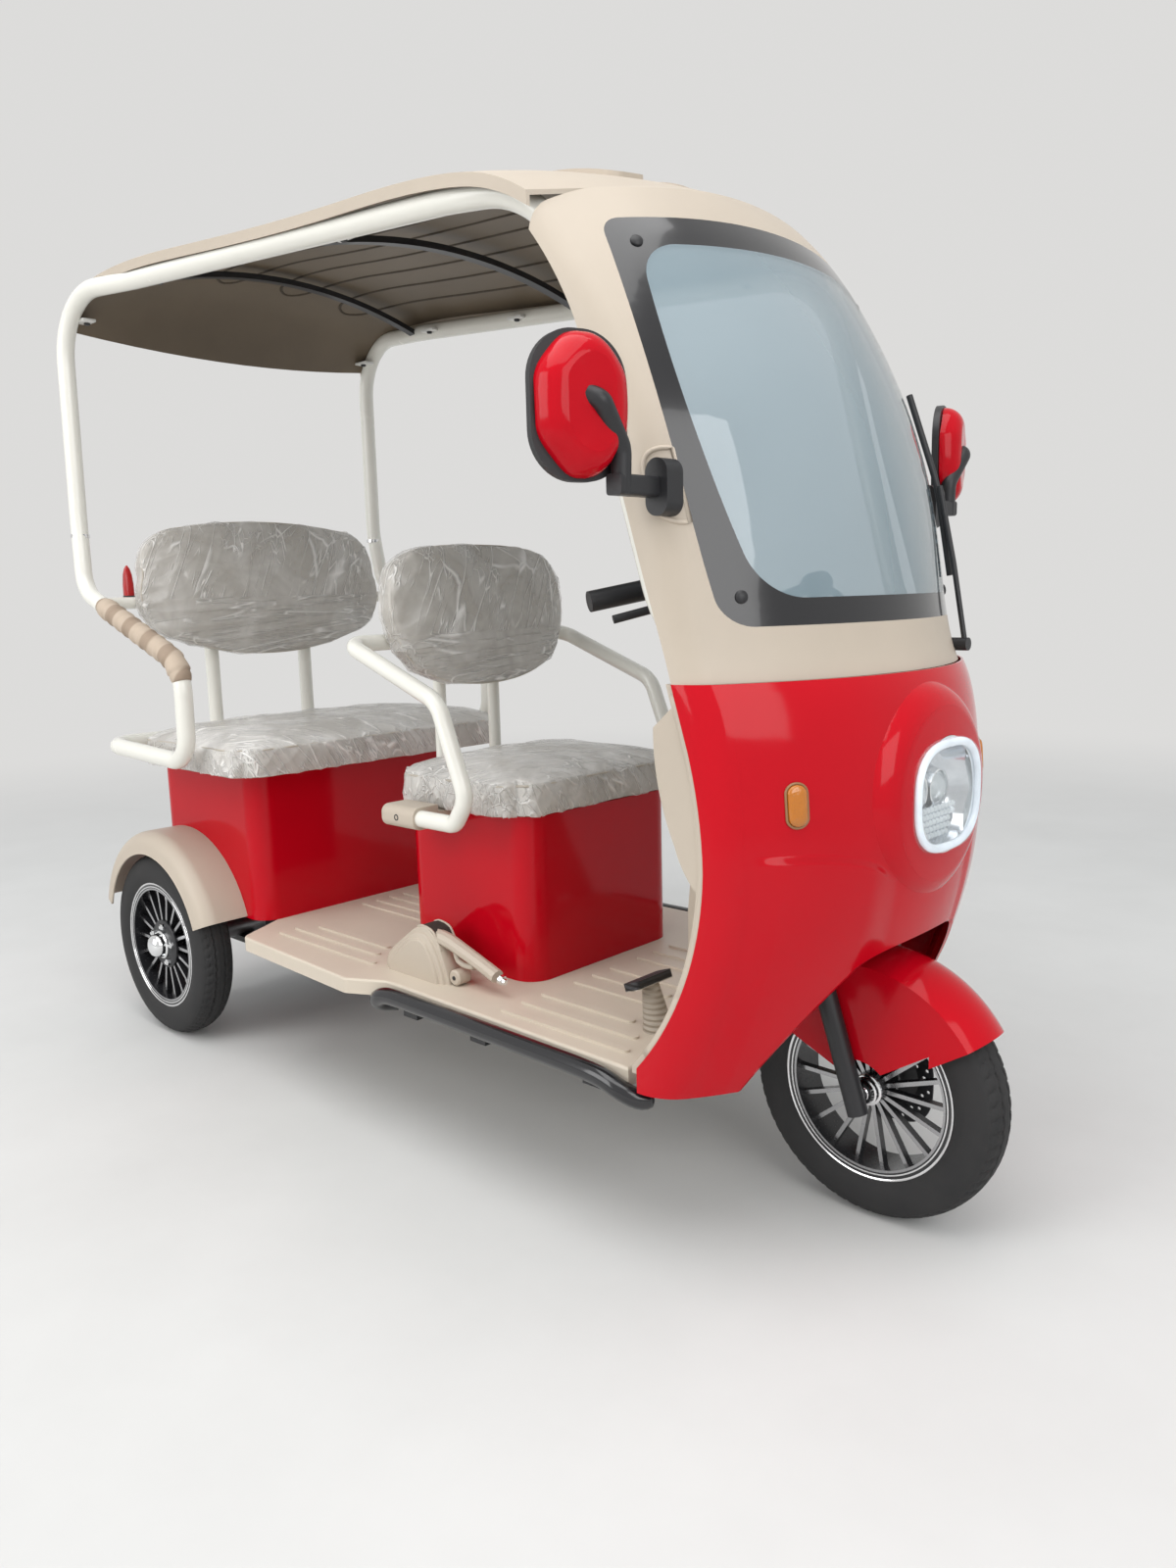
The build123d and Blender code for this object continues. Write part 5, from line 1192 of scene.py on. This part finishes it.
# The grooves' near-black colour is painted shade in the grooves.
mat_groove_shade = moulded("groove_painted_shade", scaled(UNDERSIDE_BEIGE_AND_SHADE, 0.42), rough=0.7, grain=0.3)
GROOVE_PITCH, GROOVE_HALF = 0.17, 0.0425
GROOVE_RUN = (
    (0.40, 1), (0.2, 1), (0.0, 1), (-0.2, 1), (-0.4, 1), (-0.6, 1), (-0.72, 0.98), (-0.80, 0.80),
)
for pair in range(4):
    middle_y = -0.255 + GROOVE_PITCH * pair
    path = [Vector((x, middle_y - GROOVE_HALF * share, 0)) for x, share in GROOVE_RUN]
    path.append(Vector((-0.832, middle_y, 0)))
    path += [Vector((x, middle_y + GROOVE_HALF * share, 0)) for x, share in reversed(GROOVE_RUN)]
    laid = []
    for at in smooth_path(path, 0.014):
        point, _ = first_hit(roof_skin, (at.x, at.y, 1.30), (0, 0, 1))
        if point is not None:
            laid.append(point + Vector((0, 0, 0.0016)))
    add_tube(f"roof_groove_{pair}", laid, 0.0042, 8, mat_groove_shade, "shell_beige")

# White tabs and bolts that hold the roof to the side tubes
mat_tab = moulded("tab_white", (0.72, 0.71, 0.68), rough=0.4, grain=0.15)
ROOF_BOLT = ((0.0, 0.0), (0.0, 0.0068), (0.004, 0.0066), (0.0052, 0.0048), (0.0052, 0.0))
TAB_SIZE = (0.046, 0.030, 0.006)


def small_block(name, place, size, mat, slot):
    """A small block with rounded edges."""
    made = bmesh.new()
    bmesh.ops.create_cube(made, size=1.0)
    for vert in made.verts:
        vert.co = vert.co * Vector(size)
    bmesh.ops.bevel(
        made, geom=list(made.edges), offset=min(size) * 0.22, segments=2, affect="EDGES", profile=0.6
    )
    mesh = bpy.data.meshes.new(name)
    made.to_mesh(mesh)
    made.free()
    mesh.transform(Matrix.Translation(place))
    add_piece(name, mesh, mat, slot, 40)


for side_name, side in SIDES:
    frame_skin = tree_of(nodes["side_frame_" + side_name].data)
    for index, x in enumerate((-0.93, -0.62, -0.30, 0.02, 0.36)):
        scan = [first_hit(frame_skin, (x, side * (0.30 + 0.01 * n), 1.2), (0, 0, 1))[0] for n in range(12)]
        under = [point for point in scan if point is not None and point.z > 1.5]
        if not under:
            continue
        tube_at = sum(under, Vector()) / len(under)
        place = Vector((x, tube_at.y - side * 0.022, tube_at.z + 0.012))
        small_block(f"roof_tab_{side_name}_{index}", place, TAB_SIZE, mat_tab, "tube_white")
        bolt_at = place - Vector((0, side * 0.004, 0.003))
        name = f"roof_bolt_{side_name}_{index}"
        add_turned(name, ROOF_BOLT, bolt_at, (0, 0, -1), 6, mat_black, "frame_black")

# Foam wrap on the near armrest, wound in bands round the tube
WRAP_STEP = 0.004
WRAP_RADIUS = 0.0195
WRAP_TURN = 0.034
wrap_path = [Vector((-0.868 + WRAP_STEP * n, -0.429, 1.0205 - WRAP_STEP * 0.368 * n)) for n in range(72)]
for n in range(1, 20):
    angle = radians(20.2 + 2.9 * n)
    wrap_path.append(Vector((-0.6089 + 0.080 * sin(angle), -0.4295, 0.840 + 0.080 * cos(angle))))
wrap_sizes = []
for index in range(len(wrap_path)):
    turn_at = (index * WRAP_STEP % WRAP_TURN) / WRAP_TURN
    ends = min(1.0, index / 3, (len(wrap_path) - 1 - index) / 3)
    wrap_sizes.append(WRAP_RADIUS + (0.0022 + 0.0035 * turn_at) * ends)


def foam_material():
    """Brown foam with lighter bands that slant round the tube."""
    mat = moulded("foam_wrap", (0.47, 0.33, 0.22), rough=0.75, grain=0.5, vary=0.1, grain_scale=300.0)
    tree, bsdf = parts_of(mat)
    slant = {0: coords(tree), 1: (0.80, 0.34, -0.50)}
    along = node(tree, "ShaderNodeVectorMath", slant, operation="DOT_PRODUCT").outputs["Value"]
    wave = maths(tree, "SINE", maths(tree, "MULTIPLY", along, 84.0))
    half_up = maths(tree, "MULTIPLY_ADD", wave, 0.5, 0.5)
    bands = ramp(tree, half_up, ((0.30, (0.33, 0.25, 0.185)), (0.50, (0.50, 0.405, 0.315))))
    set_inputs(tree, bsdf, {"Base Color": bands})
    return mat


add_tube("armrest_wrap", wrap_path, wrap_sizes, 24, foam_material(), "tube_white")

# Collars on the rear uprights of the side tubes
TUBE_COLLAR = ((-0.004, 0.0195), (-0.004, 0.0212), (0.004, 0.0212), (0.004, 0.0195))
for side_name, side in SIDES:
    at = (-0.9795, side * 0.4185, 1.182)
    name = "tube_collar_" + side_name
    add_turned(name, TUBE_COLLAR, at, (0.02, 0, 1), 32, mat_polished, "tube_white", closed=True)

# Rolled edges of the rear fenders
fender_skin = tree_of(nodes["rear_fenders"].data)
FENDER_STEPS = 60
for side_name, side in SIDES:
    edge = []
    for step in range(FENDER_STEPS + 1):
        angle = radians(8 + step * 164 / FENDER_STEPS)
        direction = Vector((cos(angle), 0, sin(angle)))
        start = Vector((-0.814, side * 0.4095, 0.232)) + direction * 0.15
        point, _ = first_hit(fender_skin, start, direction, 0.14)
        if point is not None:
            edge.append(point + direction * 0.001)
    add_tube("fender_edge_" + side_name, edge, 0.0028, 8, mat_lip, "shell_beige")

# Rim of the recess behind each mirror bracket, leaning with the pillar
upper_skin = tree_of(nodes["cowl_upper"].data)
BRACKET_X, BRACKET_Z, PILLAR_LEAN = 0.7445, 1.168, 0.30
for side_name, side in SIDES:
    rim = []
    for across, up in long_ring(0.030, 0.020, 56):
        start = (BRACKET_X + across - up * PILLAR_LEAN, side * 0.62, BRACKET_Z + up)
        point, _ = first_hit(upper_skin, start, (0, -side, 0), 0.4)
        if point is not None:
            rim.append(point + Vector((0, side * 0.0008, 0)))
    add_tube("bracket_rim_" + side_name, rim, 0.0034, 8, mat_lip, "shell_beige", closed=True)

# Tail lamps: slim red lenses that rise to a point beside the rear back, each on a black foot
LAMP_HALF_X, LAMP_HALF_Y = 0.0105, 0.0120
# Height, and the share of the full width and depth there
TAIL_ROWS = (
    (0.0, 1.0, 1.0), (0.004, 1.0, 1.0), (0.030, 0.97, 0.96), (0.052, 0.82, 0.78), (0.066, 0.52, 0.48),
    (0.0735, 0.14, 0.14),
)
TAIL_FOOT = ((0.0, 0.0), (0.0, 0.0135), (0.006, 0.0135), (0.007, 0.0125), (0.007, 0.0))


def slim_lamp(name, place):
    rings = []
    for height, wide, deep in TAIL_ROWS:
        half_x, half_y = LAMP_HALF_X * deep, LAMP_HALF_Y * wide
        rings.append([
            place + Vector((half_x * bent(cos(turn), 0.6), half_y * bent(sin(turn), 0.6), height))
            for turn in angles(20)
        ])
    return lofted(name, rings, True, True)


for side_name, side in SIDES:
    lamp_mesh = slim_lamp("tail_lens", Vector((-0.945, side * 0.331, 1.0403)))
    lamp = add_piece("tail_lens_" + side_name, lamp_mesh, mat_lamp_red, "lamp_red", 40)
    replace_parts(lamp, "tail_lamps")
    foot_at = (-0.945, side * 0.331, 1.0365)
    add_turned("tail_foot_" + side_name, TAIL_FOOT, foot_at, (0, 0, 1), 24, mat_black, "plastic_black")

# Side bars: glossy tubes along the floor pan's edges, bent in under it at both ends
BAR_RADIUS = 0.0156
BAR_RUN = (
    (0.036, 0.338, 0.2620), (0.026, 0.352, 0.2630), (0.023, 0.367, 0.2670), (0.027, 0.3785, 0.2760),
    (0.040, 0.3818, 0.2860), (0.070, 0.3815, 0.2925), (0.140, 0.3822, 0.2940), (0.300, 0.3846, 0.2940),
    (0.460, 0.3872, 0.2940), (0.560, 0.3886, 0.2936), (0.612, 0.3890, 0.2900), (0.645, 0.3855, 0.2785),
    (0.668, 0.3720, 0.2665), (0.684, 0.3500, 0.2615),
)
for side_name, side in SIDES:
    run = smooth_path([(x, side * y, z) for x, y, z in BAR_RUN], 0.006)
    to_end = [max(0.0, (n - len(run) + 4) / 3) for n in range(len(run))]
    sizes = [BAR_RADIUS * sqrt(1 - share ** 2) + 0.0005 for share in to_end]
    bar = add_tube("side_bar_" + side_name, run, sizes, 20, mat_border, "frame_black")
    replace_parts(bar, "side_bars")


# Mirror shells and glasses: rounder at their ends and narrower towards the bottom
def middle_and_half(values):
    low, high = min(values), max(values)
    return (low + high) / 2, (high - low) / 2


def rounder(name, mat, slot):
    """A copy of both mirrors' parts, drawn in at their corners."""
    mesh = nodes[name].data.copy()
    for side in (-1, 1):
        own = [v for v in mesh.vertices if v.co.y * side > 0]
        mid_y, half_y = middle_and_half([v.co.y for v in own])
        mid_z, half_z = middle_and_half([v.co.z for v in own])
        for v in own:
            u, w = (v.co.y - mid_y) / half_y, (v.co.z - mid_z) / half_z
            a, b = abs(u) + 1e-6, abs(w) + 1e-6
            pull = power_length(a, b, 3.6) / power_length(a, b, 2.4)
            taper = 1 - 0.10 * max(0.0, -w) ** 1.5
            v.co.y = mid_y + half_y * u * pull * taper
            v.co.z = mid_z + half_z * w * pull
    return add_piece(name + "_rounder", mesh, mat, slot, 40)


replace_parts(rounder("mirror_shells", mat_red, "panel_red"), "mirror_shells")
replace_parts(rounder("mirror_glasses", mat_mirror, "mirror_silver"), "mirror_glasses")

# Parking brake: stepped housing, slot, tapered lever with its push button
FLOOR_TOP = 0.3103
BRAKE_Y = -0.285
BRAKE_FOOT_AT = (0.160, BRAKE_Y, 0.3262)
# Near-black for the floor of the lever's slot: painted shade inside the slot.
mat_slot_shade = moulded("slot_painted_shade", (0.035, 0.03, 0.025), rough=0.8, grain=0.2)
HOUSING_OUTLINE = (
    (-0.044, FLOOR_TOP), (-0.044, FLOOR_TOP), (-0.038, 0.338), (0.022, 0.384), (0.066, 0.4135),
    (0.106, 0.406), (0.140, 0.344), (0.148, FLOOR_TOP), (0.148, FLOOR_TOP), (0.052, FLOOR_TOP),
)
HOUSING_CORE = Vector((0.055, 0, FLOOR_TOP))
# Slices through the housing: place along Y and the outline's size there
HOUSING_SLICES = (
    (-0.3150, 0.70), (-0.3150, 0.74), (-0.3138, 0.76), (-0.3100, 0.775), (-0.3092, 0.79), (-0.3092, 0.86),
    (-0.3080, 0.885), (-0.3040, 0.90), (-0.3032, 0.915), (-0.3032, 0.97), (-0.3020, 0.99), (-0.2990, 1.0),
    (-0.2590, 1.0), (-0.2560, 0.985), (-0.2550, 0.96),
)
SLOT_LINE = (
    (0.058, 0.4075), (0.072, 0.4115), (0.090, 0.4095), (0.104, 0.4040), (0.114, 0.3890), (0.124, 0.3700),
)
SLOT_DEPTH = 0.006
LEVER_LINE = ((0.088, 0.392), (0.130, 0.3885), (0.180, 0.3745), (0.225, 0.3600), (0.262, 0.3472))
TRIGGER_LINE = ((0.150, 0.3700), (0.156, 0.3560), (0.176, 0.3500), (0.200, 0.3520))
BRAKE_FOOT = (
    (-0.016, 0.0), (-0.016, 0.0120), (-0.013, 0.0150), (0.013, 0.0150), (0.016, 0.0120), (0.016, 0.0),
)
FOOT_SCREW = ((0.0155, 0.0), (0.0155, 0.0045), (0.0172, 0.0040), (0.0176, 0.0))
BRAKE_BUTTON = (
    (-0.004, 0.0), (-0.004, 0.0092), (0.003, 0.0092), (0.0042, 0.0080), (0.0042, 0.0062), (0.0100, 0.0060),
    (0.0112, 0.0045), (0.0114, 0.0),
)


def cut_corners(points, rounds=2):
    """Rounds an outline by cutting each of its corners off, twice over."""
    for _ in range(rounds):
        ahead = points[1:] + points[:1]
        pairs = [(a * 0.75 + b * 0.25, a * 0.25 + b * 0.75) for a, b in zip(points, ahead)]
        points = [point for pair in pairs for point in pair]
    return points


def brake_path(line, step, y=BRAKE_Y):
    return smooth_path([(x, y, z) for x, z in line], step)


def slot_section(x, z):
    """Four corners across the slot: its top edges, then its floor."""
    top, floor = (x, z + 0.0004), (x - 0.001, z - SLOT_DEPTH)
    corners = ((*top, -0.2975), (*top, -0.2605), (*floor, -0.2605), (*floor, -0.2975))
    return [Vector((at_x, y, at_z)) for at_x, at_z, y in corners]


housing = cut_corners([Vector((x, 0, z)) for x, z in HOUSING_OUTLINE])
housing_rings = [
    [Vector((0, y, 0)) + HOUSING_CORE + (point - HOUSING_CORE) * share for point in housing]
    for y, share in HOUSING_SLICES
]
housing_mesh = lofted("brake_housing", housing_rings, True, True)
brake = add_piece("brake_housing", housing_mesh, mat_beige, "shell_beige", 30)
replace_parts(brake, "parking_brake")
for edge_name, y in (("far", -0.2580), ("near", -0.3000)):
    rim = brake_path(SLOT_LINE, 0.004, y)
    add_tube("brake_slot_rim_" + edge_name, rim, 0.0022, 10, mat_beige, "shell_beige")
slot_mesh = lofted("brake_slot", [slot_section(x, z) for x, z in SLOT_LINE], True, True)
# The slot's floor is near-black: painted shade.
add_piece("brake_slot", slot_mesh, mat_slot_shade, "plastic_black", 30)
lever = brake_path(LEVER_LINE, 0.006)
shares = [n / (len(lever) - 1) for n in range(len(lever))]
lever_sizes = [0.0170 - 0.0030 * share - 0.0012 * sin(pi * share) for share in shares]
add_tube("brake_lever", lever, lever_sizes, 10, mat_beige, "shell_beige", 25, flat=0.9, up_hint=(0, 0, 1))
add_tube("brake_trigger", brake_path(TRIGGER_LINE, 0.004), 0.0058, 10, mat_beige, "shell_beige")
add_turned("brake_foot", BRAKE_FOOT, BRAKE_FOOT_AT, (0, -1, 0), 28, mat_beige, "shell_beige")
add_turned("brake_foot_screw", FOOT_SCREW, BRAKE_FOOT_AT, (0, -1, 0), 16, mat_black, "plastic_black")
button_at = (0.2745, BRAKE_Y, 0.3436)
add_turned("brake_button", BRAKE_BUTTON, button_at, (0.95, 0, -0.31), 24, mat_chrome, "axle_steel")

# Stage: a pale floor that fades into a plain backdrop
BACKDROP = (0.72, 0.715, 0.705)
FLOOR_HALF = 14.0
FADE_START, FADE_END = 2.2, 6.5


def plain_view(tree):
    """1 for rays that come from the camera, a reflection or a clear part."""
    path = node(tree, "ShaderNodeLightPath", {}).outputs
    seen = maths(tree, "MAXIMUM", path["Is Camera Ray"], path["Is Glossy Ray"])
    return maths(tree, "MAXIMUM", seen, path["Is Transmission Ray"])


def show_mixed(tree, output, share, first, second):
    mix = node(tree, "ShaderNodeMixShader", {"Fac": share, 1: first, 2: second})
    tree.links.new(mix.outputs["Shader"], tree.nodes[output].inputs["Surface"])


def stage_floor():
    corners = [(x * FLOOR_HALF, y * FLOOR_HALF, 0) for x, y in ((-1, -1), (1, -1), (1, 1), (-1, 1))]
    mesh = bpy.data.meshes.new("floor_ground")
    mesh.from_pydata(corners, [], [(0, 1, 2, 3)])
    floor = bpy.data.objects.new("floor_ground", mesh)
    bpy.context.scene.collection.objects.link(floor)
    mat, tree, bsdf = shader("floor_pale", (0.62, 0.615, 0.6), 0.85)
    at = coords(tree)
    stops = ((0.3, (0.60, 0.595, 0.58)), (0.7, (0.65, 0.645, 0.63)))
    set_inputs(tree, bsdf, {"Base Color": ramp(tree, noise_tex(tree, at, 1.4, 5.0), stops)})
    far = node(tree, "ShaderNodeVectorMath", {0: at}, operation="LENGTH").outputs["Value"]
    share = maths(tree, "MULTIPLY", plain_view(tree), soft_step(tree, far, FADE_START, FADE_END))
    glow = node(tree, "ShaderNodeEmission", {"Color": (*BACKDROP, 1)})
    show_mixed(tree, "Material Output", share, bsdf.outputs["BSDF"], glow.outputs["Emission"])
    mesh.materials.append(mat)


def soft_world():
    """A pale sky that lights the scene, behind the plain backdrop that is seen."""
    world = bpy.data.worlds.new("soft_world")
    bpy.context.scene.world = world
    world.use_nodes = True
    tree = world.node_tree
    height = axis_of(tree, node(tree, "ShaderNodeTexCoord", {}).outputs["Generated"], "Z")
    stops = ((0.0, (0.55, 0.56, 0.56)), (0.12, (0.72, 0.74, 0.75)), (0.6, (0.9, 0.93, 0.96)))
    sky = tree.nodes["Background"]
    set_inputs(tree, sky, {"Color": ramp(tree, height, stops), "Strength": 0.75})
    plain = node(tree, "ShaderNodeBackground", {"Color": (*BACKDROP, 1)})
    show_mixed(tree, "World Output", plain_view(tree), sky.outputs["Background"], plain.outputs["Background"])


def area_lamp(name, place, target, size, power):
    lamp = bpy.data.lights.new(name, "AREA")
    lamp.energy = power
    lamp.size = size
    holder = bpy.data.objects.new(name, lamp)
    holder.location = place
    holder.rotation_euler = (Vector(target) - Vector(place)).to_track_quat("-Z", "Y").to_euler()
    bpy.context.scene.collection.objects.link(holder)


stage_floor()
soft_world()
area_lamp("lamp_top", (0.6, -1.2, 5.2), (0, 0, 0.6), size=4.5, power=165)
area_lamp("lamp_front", (4.2, -1.4, 2.6), (0.4, 0, 0.8), size=2.6, power=60)
area_lamp("lamp_side", (-1.2, -4.4, 2.4), (-0.2, 0, 0.8), size=3.0, power=95)

# Camera, as fitted to the photograph
PHOTO_HEIGHT = 1600
SENSOR = 36.0
CAMERA_PLACE = Vector((1.746, -1.609, 1.032))
YAW, PITCH, ROLL = radians(43.29), radians(9.64), radians(1.42)
FOCAL_PIXELS = 1170.5


def photo_camera():
    look = Vector((-sin(YAW) * cos(PITCH), cos(YAW) * cos(PITCH), -sin(PITCH)))
    right = Vector((cos(YAW), sin(YAW), 0))
    down = look.cross(right)
    right_rolled = right * cos(ROLL) + down * sin(ROLL)
    down_rolled = down * cos(ROLL) - right * sin(ROLL)
    data = bpy.data.cameras.new("photo_camera")
    data.sensor_width = SENSOR
    data.lens = FOCAL_PIXELS / PHOTO_HEIGHT * SENSOR
    data.clip_start = 0.02
    data.clip_end = 60
    camera = bpy.data.objects.new("photo_camera", data)
    turn = Matrix((right_rolled, -down_rolled, -look)).transposed().to_4x4()
    camera.matrix_world = Matrix.Translation(CAMERA_PLACE) @ turn
    bpy.context.scene.collection.objects.link(camera)
    bpy.context.scene.camera = camera


photo_camera()
bpy.context.scene.view_settings.view_transform = "Standard"
